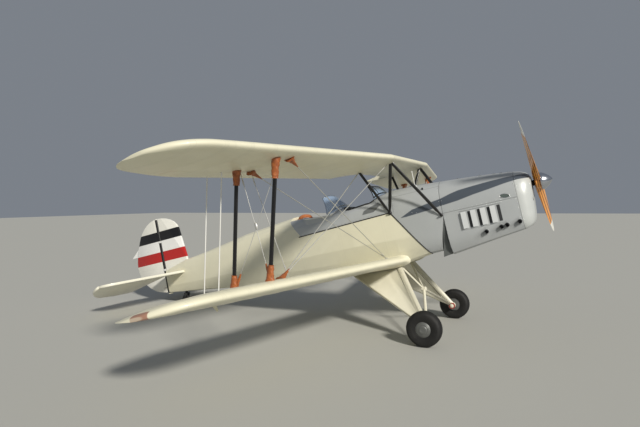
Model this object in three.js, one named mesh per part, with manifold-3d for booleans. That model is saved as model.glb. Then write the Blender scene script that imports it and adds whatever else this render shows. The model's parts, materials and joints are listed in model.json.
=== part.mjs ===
// Two-seat tandem training biplane: fabric wings and rear fuselage, metal nose, fixed tailwheel gear.
// Millimetres. It is drawn in airframe axes, +X forward, +Y to port, +Z up, zero at the main axle's middle.
// The finished machine is pitched nose up, so that it stands on its three wheels.

import * as THREE from 'three';
import { mergeVertices } from 'three/addons/utils/BufferGeometryUtils.js';
import Module from 'manifold-3d';

const wasm = await Module();
wasm.setup();

// Driving dimensions
const parkedPitch = THREE.MathUtils.degToRad(12.78);
const seatGap = 0.3;
const thrustZ = 1360;
const firewallX = 390;
const cowlSeamZ = 1236;
const noseSeamX = 1235;
const skin = 20;
const cowlSkin = 14;

const wheel = { radius: 203, width: 145, halfTrack: 788.5, rimRadius: 100, rimWidth: 108, capOut: 79 };
const tailWheel = { x: -4075, z: 796.2, radius: 78, width: 52, forkX: -4045, swivelZ: 906 };

// Both wings share one section, sweep and tip. "behind" sizes are measured back from the leading edge.
const wing = {
  span: 3700, chord: 930, sweep: 11.05, incidence: 1.5, strutLong: 43, strutThick: 22,
  strutY: 2550, wireY: 2390, hinge: 700, hingeRadius: 37, hingeGap: 6, aileronInner: 1950, aileronOuter: 3150,
};
const upperWing = {
  leX: 81, z: 1990, rootY: 733, dihedral: 1.16, frontSpar: 130, rearSpar: 570, tipDrop: -8,
};
const lowerWing = {
  leX: -157, z: 777, rootY: 378, dihedral: 2.27, frontSpar: 170, rearSpar: 580, tipDrop: 28,
};
const cutout = { frontX: -470, halfWidth: 610, corner: 170 };

const cabane = {
  topY: 620, frontTopX: -11, rearTopX: -433, frontFoot: [378, 374, 1218], rearFoot: [-237, 386, 1384],
};
const cockpits = {
  front: { from: -900, to: -430, halfWidth: 285, seatX: -890, panelX: -390, stickX: -460 },
  rear: { from: -1525, to: -1010, halfWidth: 300, seatX: -1515, panelX: -975, stickX: -1085 },
};
const bay = { from: -1545, to: 378, floorZ: 800 };
const panelRearX = -1565;
const headrestX = -1735;
const rudderHinge = { x: -4402, bottomZ: 962, radius: 20, gap: 6 };
const elevatorHinge = { x: -4335, z: 1250, tubeRadius: 13, droop: 18 };
const tail = { surfaceThickness: 40, stabilizerHalf: 1420, rootLeX: -3925, tipLeX: -4090 };
const propeller = { x: 1469, diameter: 1990, angle: -51.6, hubRadius: 78, hubLength: 62 };
const spinner = { baseX: 1503, tipX: 1624, radius: 100 };

// Materials
const paint = (color, roughness = 0.5, metalness = 0) =>
  new THREE.MeshStandardMaterial({ color, roughness, metalness });
const cream = paint(0xe6dfc4, 0.55);
const silver = paint(0xa9adb0, 0.35, 0.3);
const blackPaint = paint(0x17181a, 0.35);
const rubber = paint(0x1b1b1c, 0.9);
const steel = paint(0x8d9092, 0.35, 0.9);
const polished = paint(0xd8dadc, 0.12, 1);
const wood = paint(0xb8702c, 0.25);
const leather = paint(0xb9582a, 0.6);
const glass = new THREE.MeshStandardMaterial({ color: 0xbcd4e4, transparent: true, opacity: 0.35 });
const darkMetal = paint(0x3c3f42, 0.6, 0.6);

const airframe = new THREE.Group();
airframe.rotation.y = -parkedPitch;
const tanDeg = (degrees) => Math.tan(THREE.MathUtils.degToRad(degrees));
const at = (x, y, z) => new THREE.Vector3(x, y, z);

// Solids

function closedSolid(geometry) {
  const bare = new THREE.BufferGeometry();
  bare.setAttribute('position', geometry.attributes.position.clone());
  if (geometry.index) bare.setIndex(geometry.index.clone());
  const merged = mergeVertices(bare, 1e-3);
  return new wasm.Manifold(new wasm.Mesh({
    numProp: 3,
    vertProperties: Float32Array.from(merged.attributes.position.array),
    triVerts: Uint32Array.from(merged.index.array),
  }));
}

function geometryOf(body) {
  const mesh = body.getMesh();
  const geometry = new THREE.BufferGeometry();
  geometry.setAttribute('position', new THREE.BufferAttribute(Float32Array.from(mesh.vertProperties), 3));
  geometry.setIndex(Array.from(mesh.triVerts));
  return geometry;
}

// A body through closed rings of equal count, with fanned flat ends, turned so that its faces point out.
function loft(rings) {
  const count = rings[0].length;
  const points = rings.flat();
  const index = [];
  for (let r = 0; r < rings.length - 1; r += 1) {
    for (let i = 0; i < count; i += 1) {
      const a = r * count + i;
      const b = r * count + (i + 1) % count;
      index.push(a, b, b + count, a, b + count, a + count);
    }
  }
  for (const [ring, flip] of [[0, true], [rings.length - 1, false]]) {
    const centre = rings[ring].reduce((sum, p) => sum.add(p), at(0, 0, 0)).divideScalar(count);
    points.push(centre);
    for (let i = 0; i < count; i += 1) {
      const a = ring * count + i;
      const b = ring * count + (i + 1) % count;
      index.push(points.length - 1, flip ? b : a, flip ? a : b);
    }
  }
  if (signedVolume(points, index) < 0) {
    for (let i = 0; i < index.length; i += 3) {
      [index[i], index[i + 1]] = [index[i + 1], index[i]];
    }
  }
  const geometry = new THREE.BufferGeometry().setFromPoints(points);
  geometry.setIndex(index);
  return closedSolid(geometry);
}

function signedVolume(points, index) {
  let total = 0;
  for (let i = 0; i < index.length; i += 3) {
    const [a, b, c] = [points[index[i]], points[index[i + 1]], points[index[i + 2]]];
    total += a.dot(b.clone().cross(c));
  }
  return total;
}

const shapeOf = (points) => new THREE.Shape(points.map(([u, v]) => new THREE.Vector2(u, v)));

// An outline in side view (x, z), as thick as from one y to the other.
function sidePlate(outline, fromY, toY, edge = 0) {
  const shape = outline instanceof THREE.Shape ? outline : shapeOf(outline);
  const geometry = new THREE.ExtrudeGeometry(shape, {
    depth: toY - fromY - 2 * edge, curveSegments: 6, bevelEnabled: edge > 0,
    bevelThickness: edge, bevelSize: edge, bevelOffset: -edge, bevelSegments: 2,
  });
  geometry.translate(0, 0, edge - toY);
  geometry.rotateX(Math.PI / 2);
  return closedSolid(geometry);
}

// An outline in plan view (x, y), as thick as from one z to the other.
function planPlate(outline, fromZ, toZ, edge = 0) {
  const shape = outline instanceof THREE.Shape ? outline : shapeOf(outline);
  const geometry = new THREE.ExtrudeGeometry(shape, {
    depth: toZ - fromZ - 2 * edge, curveSegments: 6, bevelEnabled: edge > 0,
    bevelThickness: edge, bevelSize: edge, bevelOffset: -edge, bevelSegments: 2,
  });
  geometry.translate(0, 0, fromZ + edge);
  return closedSolid(geometry);
}

function box(x0, x1, y0, y1, z0, z1) {
  const geometry = new THREE.BoxGeometry(x1 - x0, y1 - y0, z1 - z0);
  geometry.translate((x0 + x1) / 2, (y0 + y1) / 2, (z0 + z1) / 2);
  return closedSolid(geometry);
}

function ball(centre, radius) {
  const geometry = new THREE.SphereGeometry(radius, 10, 6);
  geometry.translate(centre.x, centre.y, centre.z);
  return closedSolid(geometry);
}

// A straight bar from a to b: "long" is its width along the flight direction, "thick" is across it.
function bar(a, b, long, thick = long, sides = 10) {
  const along = b.clone().sub(a).normalize();
  const reference = Math.abs(along.x) > 0.9 ? at(0, 0, 1) : at(1, 0, 0);
  const forward = reference.sub(along.clone().multiplyScalar(reference.dot(along))).normalize();
  const across = along.clone().cross(forward);
  const ring = (centre) => Array.from({ length: sides }, (_, i) => {
    const angle = (i / sides) * 2 * Math.PI;
    return centre.clone()
      .addScaledVector(forward, (long / 2) * Math.cos(angle))
      .addScaledVector(across, (thick / 2) * Math.sin(angle));
  });
  return loft([ring(a), ring(b)]);
}

function spun(profile, segments, centre, axis) {
  const geometry = new THREE.LatheGeometry(profile.map(([r, h]) => new THREE.Vector2(r, h)), segments);
  geometry.applyQuaternion(new THREE.Quaternion().setFromUnitVectors(at(0, 1, 0), axis));
  geometry.translate(centre.x, centre.y, centre.z);
  const body = closedSolid(geometry);
  if (body.volume() > 0) return body;
  geometry.index.array.reverse();
  return closedSolid(geometry);
}

const join = (first, ...others) => others.reduce((sum, body) => sum.add(body), first);
const cut = (first, ...others) => others.reduce((rest, body) => rest.subtract(body), first);
const largest = (body) => body.decompose().reduce((a, b) => (a.volume() > b.volume() ? a : b));

// A body with the seat gap added all round it, so that what it trims clears it by that much.
const swollenBodies = new Map();
function swollen(body) {
  if (!swollenBodies.has(body)) {
    const g = seatGap;
    const shifts = [[g, 0, 0], [-g, 0, 0], [0, 0, g], [0, 0, -g], [0, g, 0], [0, -g, 0]];
    swollenBodies.set(body, join(body, ...shifts.map((shift) => body.translate(shift))));
  }
  return swollenBodies.get(body);
}

// Trims a piece where it meets its neighbours, leaving the seat gap, and drops what is cut off.
const seat = (piece, ...neighbours) => largest(cut(piece, ...neighbours.map(swollen)));

function add(name, body, material) {
  const mesh = new THREE.Mesh(geometryOf(body), material);
  mesh.name = name;
  airframe.add(mesh);
}

const sides = [
  { name: 'right', side: -1 },
  { name: 'left', side: 1 },
];

// Wings

const sectionTable = [
  // fraction of the chord, height above and below the chord line, as fractions of the chord
  { f: 0.006, up: 0.018, down: -0.016 },
  { f: 0.03, up: 0.039, down: -0.031 },
  { f: 0.1, up: 0.063, down: -0.05 },
  { f: 0.25, up: 0.074, down: -0.06 },
  { f: 0.45, up: 0.069, down: -0.056 },
  { f: 0.7, up: 0.045, down: -0.036 },
  { f: 0.9, up: 0.018, down: -0.013 },
  { f: 1, up: 0.0025, down: -0.0025 },
];

const tipTable = [
  // inset from the tip, leading and trailing edge behind the leading-edge line, share of the plane's tip drop
  { inset: 800, le: 0, te: 930, drop: 0 },
  { inset: 550, le: 0, te: 890, drop: 0 },
  { inset: 370, le: 0, te: 840, drop: 0.05 },
  { inset: 260, le: 22, te: 805, drop: 0.12 },
  { inset: 165, le: 62, te: 770, drop: 0.25 },
  { inset: 90, le: 130, te: 725, drop: 0.45 },
  { inset: 35, le: 230, te: 655, drop: 0.7 },
  { inset: 5, le: 350, te: 540, drop: 1 },
];

function leadingEdge(plane, y) {
  const out = Math.max(Math.abs(y) - plane.rootY, 0);
  return at(plane.leX - out * tanDeg(wing.sweep), y, plane.z + out * tanDeg(plane.dihedral));
}

// A point behind the leading edge at a spanwise place, raised off the chord line.
function wingPoint(plane, y, behind, raise = 0) {
  const edge = leadingEdge(plane, y);
  return at(edge.x - behind, y, edge.z - behind * tanDeg(wing.incidence) + raise);
}

function sectionHeight(behind, key, chord = wing.chord) {
  const f = behind / chord;
  const next = Math.max(1, sectionTable.findIndex((row) => row.f >= f));
  const [a, b] = [sectionTable[next - 1], sectionTable[next]];
  return chord * THREE.MathUtils.lerp(a[key], b[key], (f - a.f) / (b.f - a.f));
}

function wingRing(plane, y, le, te, drop) {
  const chord = te - le;
  const place = (f, height) => wingPoint(plane, y, le + f * chord, height * chord - drop);
  const above = sectionTable.map((row) => place(row.f, row.up));
  const below = sectionTable.map((row) => place(row.f, row.down)).reverse();
  return [place(0, 0.001), ...above, ...below];
}

function wingPanel(plane, side, fromY) {
  const stations = fromY < plane.rootY ? [fromY, plane.rootY] : [fromY];
  const inner = stations.map((y) => wingRing(plane, side * y, 0, wing.chord, 0));
  const outer = tipTable.map(({ inset, le, te, drop }) =>
    wingRing(plane, side * (wing.span - inset), le, te, drop * plane.tipDrop));
  return loft([...inner, ...outer]);
}

function hingeAxis(plane, side) {
  const raise = (sectionHeight(wing.hinge, 'up') + sectionHeight(wing.hinge, 'down')) / 2;
  return {
    inner: wingPoint(plane, side * wing.aileronInner, wing.hinge, raise),
    outer: wingPoint(plane, side * wing.aileronOuter, wing.hinge, raise),
  };
}

// The space behind the hinge line, between two spanwise places, as deep as the wing and more.
function aileronSpace(plane, side, trim) {
  const reach = 500;
  const corner = (y, behind) => [wingPoint(plane, side * y, behind).x, side * y];
  const [y0, y1] = [wing.aileronInner - trim, wing.aileronOuter + trim];
  const outline = [corner(y0, wing.hinge), corner(y0, reach + wing.hinge),
    corner(y1, reach + wing.hinge), corner(y1, wing.hinge)];
  return planPlate(outline, plane.z - reach, plane.z + reach);
}

function aileronParts(plane, side, panel) {
  const axis = hingeAxis(plane, side);
  const run = axis.outer.clone().sub(axis.inner).normalize();
  const span = (extra) => [
    axis.inner.clone().addScaledVector(run, -extra),
    axis.outer.clone().addScaledVector(run, extra),
  ];
  const nose = bar(...span(0), 2 * wing.hingeRadius, 2 * wing.hingeRadius, 16).intersect(panel);
  const pocket = bar(...span(wing.hingeGap), 2 * (wing.hingeRadius + wing.hingeGap), undefined, 16);
  const pins = bar(...span(wing.hingeGap - seatGap), 12, 12, 8);
  const blade = panel.intersect(aileronSpace(plane, side, 0));
  const aileron = join(blade, nose, pins);
  const fixed = cut(panel, aileronSpace(plane, side, wing.hingeGap), pocket);
  return { aileron: largest(aileron), fixed: largest(fixed) };
}

function roundedCutout() {
  const { frontX, halfWidth, corner } = cutout;
  const back = upperWing.leX - wing.chord - 100;
  const shape = new THREE.Shape();
  shape.moveTo(back, -halfWidth);
  shape.lineTo(frontX - corner, -halfWidth);
  shape.absarc(frontX - corner, -halfWidth + corner, corner, -Math.PI / 2, 0, false);
  shape.lineTo(frontX, halfWidth - corner);
  shape.absarc(frontX - corner, halfWidth - corner, corner, 0, Math.PI / 2, false);
  shape.lineTo(back, halfWidth);
  return planPlate(shape, upperWing.z - 300, upperWing.z + 300);
}

function centreSection() {
  const y = upperWing.rootY;
  const block = loft([wingRing(upperWing, -y, 0, wing.chord, 0), wingRing(upperWing, y, 0, wing.chord, 0)]);
  return cut(block, roundedCutout());
}

// Fuselage

const hullTable = [
  // station, belly, belly half width, widest line, its half width, longeron, its half width, crown
  { x: 390, z0: 800, w0: 272, z1: 1000, w1: 352, z2: 1214, w2: 362, z3: 1640 },
  { x: 141, z0: 788, w0: 285, z1: 1030, w1: 372, z2: 1282, w2: 374, z3: 1664 },
  { x: -237, z0: 722, w0: 300, z1: 1040, w1: 382, z2: 1384, w2: 380, z3: 1678 },
  { x: -460, z0: 716, w0: 300, z1: 1048, w1: 382, z2: 1378, w2: 379, z3: 1632 },
  { x: -800, z0: 706, w0: 300, z1: 1060, w1: 382, z2: 1368, w2: 376, z3: 1614 },
  { x: -1300, z0: 716, w0: 275, z1: 1060, w1: 358, z2: 1356, w2: 352, z3: 1604 },
  { x: -1735, z0: 742, w0: 245, z1: 1060, w1: 325, z2: 1346, w2: 322, z3: 1651 },
  { x: -2600, z0: 808, w0: 180, z1: 1056, w1: 248, z2: 1312, w2: 246, z3: 1590 },
  { x: -3413, z0: 880, w0: 118, z1: 1058, w1: 160, z2: 1276, w2: 160, z3: 1480 },
  { x: -3900, z0: 921, w0: 78, z1: 1062, w1: 105, z2: 1255, w2: 104, z3: 1432 },
  { x: -4378, z0: 962, w0: 30, z1: 1066, w1: 38, z2: 1240, w2: 38, z3: 1330 },
];

const cowlTable = [
  { x: 390.3, z0: 729, w0: 235, z1: 940, w1: 342, z2: 1237, w2: 342, z3: 1640 },
  { x: 700, z0: 778, w0: 238, z1: 960, w1: 330, z2: 1237, w2: 332, z3: 1611 },
  { x: 1000, z0: 826, w0: 230, z1: 980, w1: 312, z2: 1236, w2: 314, z3: 1577 },
  { x: 1235, z0: 860, w0: 212, z1: 995, w1: 290, z2: 1236, w2: 294, z3: 1541 },
  { x: 1310, z0: 878, w0: 192, z1: 1005, w1: 270, z2: 1236, w2: 275, z3: 1522, rake: 0.03 },
  { x: 1362, z0: 904, w0: 160, z1: 1020, w1: 240, z2: 1236, w2: 246, z3: 1498, rake: 0.06 },
  { x: 1396, z0: 942, w0: 122, z1: 1042, w1: 200, z2: 1236, w2: 208, z3: 1467, rake: 0.08 },
  { x: 1412, z0: 990, w0: 88, z1: 1065, w1: 160, z2: 1236, w2: 168, z3: 1430, rake: 0.09 },
];

const crownPower = 2 / 2.6;

// One section: flat belly, rounded lower corner, flat upper side and a full round crown.
function hullRing(row, inset = 0) {
  const steps = 5;
  const corner = 0.28;
  const [z0, z3] = [row.z0 + inset, row.z3 - inset];
  const [w0, w1, w2] = [row.w0 - inset / 2, row.w1 - inset, row.w2 - inset];
  const half = [
    [w0 - (w1 - w0) * 0.3, z0],
    [w0 + (w1 - w0) * corner, z0 + (row.z1 - z0) * 0.1],
    [w0 + (w1 - w0) * 0.78, z0 + (row.z1 - z0) * 0.5],
    [w1, row.z1],
    [w2, row.z2],
  ];
  for (let i = 1; i < steps; i += 1) {
    const angle = (i / steps) * (Math.PI / 2);
    half.push([w2 * Math.cos(angle) ** crownPower, row.z2 + (z3 - row.z2) * Math.sin(angle) ** crownPower]);
  }
  const rakeTop = 1500;
  const place = (y, z) => at(row.x - (row.rake ?? 0) * (rakeTop - z), y, z);
  const port = half.map(([y, z]) => place(y, z));
  const starboard = half.map(([y, z]) => place(-y, z)).reverse();
  return [place(0, z0), ...port, place(0, z3), ...starboard];
}

const hull = loft(hullTable.map((row) => hullRing(row)));
const hullRoom = (inset) => loft(hullTable.map((row) => hullRing(row, inset)));
const cowlRows = cowlTable.filter((row) => row.x <= noseSeamX);
const noseRows = cowlTable.filter((row) => row.x >= noseSeamX);

const far = 6000;
const wide = 900;

// Side-view regions of the fuselage: above the longeron, the forward metal sides, and what is left.
const longeronLine = [[firewallX, 1214], [-237, 1384], [panelRearX, 1347]];
const deckRegion = (trim) => sidePlate([
  [firewallX + 200, 1160 - trim], ...longeronLine.slice(1).map(([x, z]) => [x, z - trim]),
  [panelRearX - trim, 1347 - trim], [headrestX - trim, 1580], [headrestX - trim, far], [firewallX + 200, far],
], -wide, wide);
const frontRegion = (trim) => sidePlate([
  [firewallX + 50, 600], [firewallX + 50, 1202], [-237 - trim, 1384], [195 - trim, 713], [250, 600],
], -wide, wide);
const outletWedge = sidePlate([
  [firewallX + 60, 600], [firewallX + 60, 1200], [firewallX, 1200], [250, 700],
], -wide, wide);

function cockpitHole({ from, to, halfWidth }) {
  const corner = 120;
  const shape = new THREE.Shape();
  shape.moveTo(from + corner, -halfWidth);
  shape.lineTo(to - corner, -halfWidth);
  shape.absarc(to - corner, -halfWidth + corner, corner, -Math.PI / 2, 0, false);
  shape.lineTo(to, halfWidth - corner);
  shape.absarc(to - corner, halfWidth - corner, corner, 0, Math.PI / 2, false);
  shape.lineTo(from + corner, halfWidth);
  shape.absarc(from + corner, halfWidth - corner, corner, Math.PI / 2, Math.PI, false);
  shape.lineTo(from, -halfWidth + corner);
  shape.absarc(from + corner, -halfWidth + corner, corner, Math.PI, 1.5 * Math.PI, false);
  return planPlate(shape, 1400, 2000);
}

const bayRoom = hullRoom(skin).intersect(box(bay.from, bay.to, -wide, wide, bay.floorZ, far));
const firewallRoom = hullRoom(skin + seatGap).intersect(box(bay.to, firewallX, -wide, wide, bay.floorZ, far));
const deckHollow = hullRoom(skin).intersect(box(bay.from, firewallX + 1, -wide, wide, 1100, far));

function stabilizerBody() {
  const { surfaceThickness, stabilizerHalf, rootLeX, tipLeX } = tail;
  const shape = new THREE.Shape();
  const hingeX = elevatorHinge.x + elevatorHinge.tubeRadius + rudderHinge.gap;
  shape.moveTo(hingeX, -stabilizerHalf);
  shape.lineTo(tipLeX - 170, -stabilizerHalf);
  shape.quadraticCurveTo(tipLeX - 30, -stabilizerHalf, tipLeX + 28, -stabilizerHalf + 230);
  shape.lineTo(rootLeX, -100);
  shape.lineTo(rootLeX, 100);
  shape.lineTo(tipLeX + 28, stabilizerHalf - 230);
  shape.quadraticCurveTo(tipLeX - 30, stabilizerHalf, tipLeX - 170, stabilizerHalf);
  shape.lineTo(hingeX, stabilizerHalf);
  const z = elevatorHinge.z;
  return planPlate(shape, z - surfaceThickness / 2, z + surfaceThickness / 2, 10);
}

const stabilizer = stabilizerBody();
const elevatorTubeHole = bar(
  at(elevatorHinge.x, -wide, elevatorHinge.z), at(elevatorHinge.x, wide, elevatorHinge.z),
  2 * elevatorHinge.tubeRadius + 1.4, undefined, 16,
);

function rearFuselage() {
  const { x, bottomZ } = rudderHinge;
  const shelfTop = bottomZ - 12 - seatGap;
  const rudderShelf = join(box(x - 16, -4340, -14, 14, shelfTop - 12, shelfTop),
    box(x + 40, -4340, -14, 14, shelfTop - 12, bottomZ + 30));
  const body = cut(hull, deckRegion(seatGap), frontRegion(seatGap), bayRoom);
  const trimmed = cut(join(body, rudderShelf), swollen(stabilizer), elevatorTubeHole);
  return largest(trimmed);
}

function headrestNotch() {
  return box(headrestX, cockpits.rear.from + 20, -wide, wide, 1592, far);
}

function topDecking() {
  const shell = cut(hull.intersect(deckRegion(0)), deckHollow, headrestNotch());
  return largest(cut(shell, cockpitHole(cockpits.front), cockpitHole(cockpits.rear)));
}

function frontSidePanels() {
  const solidPart = cut(hull.intersect(frontRegion(0)), deckRegion(seatGap), outletWedge);
  const inside = hullRoom(skin).intersect(box(bay.from, firewallX + 1, -wide, wide, bay.floorZ, far));
  return largest(cut(solidPart, inside));
}

function addFuselage() {
  add('fuselage_rear', rearFuselage(), cream);
  add('top_decking', topDecking(), silver);
  add('front_side_panels', frontSidePanels(), silver);
  add('firewall', firewallRoom, darkMetal);
  const z = 1592 + seatGap;
  const pad = new THREE.SphereGeometry(1, 16, 10);
  pad.scale(102, 118, 70);
  pad.translate((headrestX + cockpits.rear.from + 20) / 2, 0, z);
  const front = headrestX + 1.5;
  add('headrest', closedSolid(pad).intersect(box(front, -1400, -wide, wide, z, far)), leather);
}

// Nose

const stubTable = [
  // station and height of each exhaust stub
  { x: 832, z: 928 }, { x: 1004, z: 948 }, { x: 1067, z: 956 }, { x: 1205, z: 966 },
];
const engine = { from: 470, to: 1290, half: 150, z0: 960, z1: 1430, shaftRadius: 34 };
const exhaust = { pipeY: -205, outer: 46, bore: 36, proud: 22 };
const louvres = { from: 596, pitch: 110, blade: 72, z0: 1005, z1: 1200, count: 4, proud: 16 };

function cowlShell(rows) {
  return cut(loft(rows.map((row) => hullRing(row))), cowlHollow);
}

const cowlHollow = loft([
  ...cowlTable.map((row) => hullRing(row, cowlSkin)).map((ring, i, all) =>
    ring.map((p) => at(p.x - (i === all.length - 1 ? 2 * cowlSkin : 0) - (i === 0 ? 5 : 0), p.y, p.z))),
]);

function louvreBlades(side) {
  const blades = [];
  for (let i = 0; i < louvres.count; i += 1) {
    const rear = louvres.from + i * louvres.pitch;
    const half = cowlHalfWidth(rear + louvres.blade);
    const outline = [[rear + louvres.blade, half - 8], [rear, half + 12 + louvres.proud], [rear, half - 4]];
    blades.push(planPlate(outline.map(([x, y]) => [x, side * y]), louvres.z0, louvres.z1));
  }
  return blades;
}

function cowlHalfWidth(x) {
  const next = Math.max(1, cowlTable.findIndex((row) => row.x >= x));
  const [a, b] = [cowlTable[next - 1], cowlTable[next]];
  return THREE.MathUtils.lerp(a.w2, b.w2, (x - a.x) / (b.x - a.x));
}

function addCowling() {
  const above = box(0, far, -wide, wide, cowlSeamZ + seatGap / 2, far);
  const below = box(0, far, -wide, wide, 0, cowlSeamZ - seatGap / 2);
  const rear = cowlShell(cowlRows);
  const stubHoles = stubTable.map((stub) => bar(...stubAxis(stub), 54, 54, 12));
  const blades = sides.flatMap(({ side }) => louvreBlades(side));
  add('cowl_upper', largest(rear.intersect(above)), silver);
  add('cowl_lower', largest(cut(join(rear.intersect(below), ...blades), cowlHollow, ...stubHoles)), silver);
  const shaftHole = bar(at(1200, 0, thrustZ), at(1500, 0, thrustZ), 170, 170, 24);
  const intake = bar(at(1300, 95, 1150), at(1500, 95, 1150), 200, 90, 16);
  const bowl = cut(cowlShell(noseRows), shaftHole, intake, box(0, noseSeamX + seatGap, -wide, wide, 0, far));
  add('nose_bowl', largest(bowl), silver);
}

// From the manifold out through the starboard cowl side, drooping a little.
function stubAxis({ x, z }) {
  return [at(x, exhaust.pipeY, z), at(x, -cowlHalfWidth(x) - exhaust.proud, z - 8)];
}

function addEngine() {
  const { from, to, half, z0, z1, shaftRadius } = engine;
  const block = box(from, to, -half, half, z0, z1);
  const mount = box(firewallX + seatGap, from + 5, -half * 0.7, half * 0.7, 1050, 1300);
  const shaftEnd = propeller.x - propeller.hubLength / 2 - seatGap;
  const shaft = bar(at(to - 5, 0, thrustZ), at(shaftEnd, 0, thrustZ), 2 * shaftRadius, undefined, 16);
  add('engine_block', join(block, mount, shaft), darkMetal);
  const { pipeY, outer, bore } = exhaust;
  const [first, last] = [stubTable[0].x, stubTable.at(-1).x];
  const pipe = bar(at(first, pipeY, 960), at(last, pipeY, 972), 50, 50, 10);
  const stubs = stubTable.map((stub) => {
    const [start, end] = stubAxis(stub);
    const mouth = end.clone().lerp(start, 0.25);
    const beyond = end.clone().lerp(start, -0.2);
    return cut(bar(start, end, outer, outer, 12), bar(mouth, beyond, bore, bore, 12));
  });
  const flange = box(first, last, pipeY, -half - seatGap, 965, 985);
  add('exhaust_stubs', largest(join(pipe, flange, ...stubs)), darkMetal);
}

function addPropeller() {
  const { x, diameter, angle, hubRadius, hubLength } = propeller;
  const turn = THREE.MathUtils.degToRad(angle);
  const bladeTable = [
    // radius as a share of the tip's, width, thickness, blade angle
    { r: 0.04, width: 100, thick: 54, pitch: 50 },
    { r: 0.12, width: 98, thick: 42, pitch: 46 },
    { r: 0.25, width: 108, thick: 29, pitch: 38 },
    { r: 0.42, width: 118, thick: 20, pitch: 30 },
    { r: 0.6, width: 113, thick: 15, pitch: 24 },
    { r: 0.78, width: 97, thick: 12, pitch: 20 },
    { r: 0.91, width: 74, thick: 9, pitch: 17 },
    { r: 0.98, width: 46, thick: 7, pitch: 16 },
    { r: 1, width: 22, thick: 5, pitch: 16 },
  ];
  const bodies = [];
  for (const way of [1, -1]) {
    const radial = at(0, way * Math.sin(turn), way * Math.cos(turn));
    const tangent = at(1, 0, 0).cross(radial);
    const rings = bladeTable.map(({ r, width, thick, pitch }) => {
      const tilt = THREE.MathUtils.degToRad(pitch);
      const chordwise = tangent.clone().multiplyScalar(Math.cos(tilt)).add(at(Math.sin(tilt), 0, 0));
      const normal = tangent.clone().multiplyScalar(-Math.sin(tilt)).add(at(Math.cos(tilt), 0, 0));
      const centre = at(x, 0, thrustZ).addScaledVector(radial, (r * diameter) / 2);
      return Array.from({ length: 12 }, (_, i) => {
        const phase = (i / 12) * 2 * Math.PI;
        return centre.clone()
          .addScaledVector(chordwise, (width / 2) * Math.cos(phase))
          .addScaledVector(normal, (thick / 2) * Math.sin(phase));
      });
    });
    bodies.push(loft(rings));
  }
  const [back, front] = [x - hubLength / 2, x + hubLength / 2];
  const hub = bar(at(back, 0, thrustZ), at(front, 0, thrustZ), 2 * hubRadius, undefined, 24);
  const behindSpinner = box(x - 60, spinner.baseX - seatGap, -far, far, -far, far);
  add('propeller', largest(join(hub, ...bodies).intersect(behindSpinner)), wood);
  const { baseX, tipX, radius } = spinner;
  const profile = [
    [0, 0], [radius, 0], [radius, 14], [radius * 0.9, 42], [radius * 0.68, 74],
    [radius * 0.38, 102], [radius * 0.1, tipX - baseX - 3], [0, tipX - baseX],
  ];
  add('spinner', spun(profile, 24, at(baseX, 0, thrustZ), at(1, 0, 0)), polished);
}

// Wing cell

const panels = {};

function addWings() {
  const centre = centreSection();
  panels.centre = centre;
  add('upper_wing_center', centre, cream);
  for (const { name, side } of sides) {
    const upper = wingPanel(upperWing, side, upperWing.rootY + seatGap);
    const lowerRaw = wingPanel(lowerWing, side, lowerWing.rootY - 110);
    const lower = seat(lowerRaw, hull);
    for (const [level, plane, panel] of [['upper', upperWing, upper], ['lower', lowerWing, lower]]) {
      const { aileron, fixed } = aileronParts(plane, side, panel);
      panels[level + name] = fixed;
      panels[level + name + 'aileron'] = aileron;
      const horn = level === 'lower' ? [aileronHorn(side)] : [];
      add(`${level}_wing_${name}`, fixed, cream);
      add(`aileron_${level}_${name}`, join(aileron, ...horn), cream);
    }
  }
}

// The balance horn under each lower aileron.
function aileronHorn(side) {
  const top = wingPoint(lowerWing, side * 2650, wing.hinge + 20, -12);
  const offsets = [[8, 6], [-60, 4], [14, -96], [26, -92]];
  const outline = offsets.map(([x, z]) => [top.x + x, top.z + z]);
  return sidePlate(outline, top.y - 6, top.y + 6);
}

function addStruts() {
  for (const { name, side } of sides) {
    for (const [place, spar] of [['front', 'frontSpar'], ['rear', 'rearSpar']]) {
      const y = side * wing.strutY;
      const foot = wingPoint(lowerWing, y, lowerWing[spar]);
      const head = wingPoint(upperWing, y, upperWing[spar]);
      const raw = bar(foot, head, wing.strutLong, wing.strutThick, 12);
      const seated = seat(raw, panels['upper' + name], panels['lower' + name]);
      add(`interplane_strut_${place}_${name}`, seated, blackPaint);
    }
    const topZ = (behind) => sectionHeight(behind, 'down') / 2;
    const top = (x) => wingPoint(upperWing, side * cabane.topY, upperWing.leX - x, topZ(upperWing.leX - x));
    const foot = ([x, y, z]) => at(x, side * y, z);
    const legs = [
      bar(foot(cabane.frontFoot), top(cabane.frontTopX), 40, 23, 10),
      bar(foot(cabane.rearFoot), top(cabane.frontTopX), 40, 23, 10),
      bar(foot(cabane.rearFoot), top(cabane.rearTopX), 34, 20, 10),
    ];
    const feet = [ball(foot(cabane.frontFoot), 22), ball(foot(cabane.rearFoot), 28)];
    add(`cabane_${name}`, seat(join(...legs, ...feet), panels.centre, hull), blackPaint);
  }
}

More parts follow.
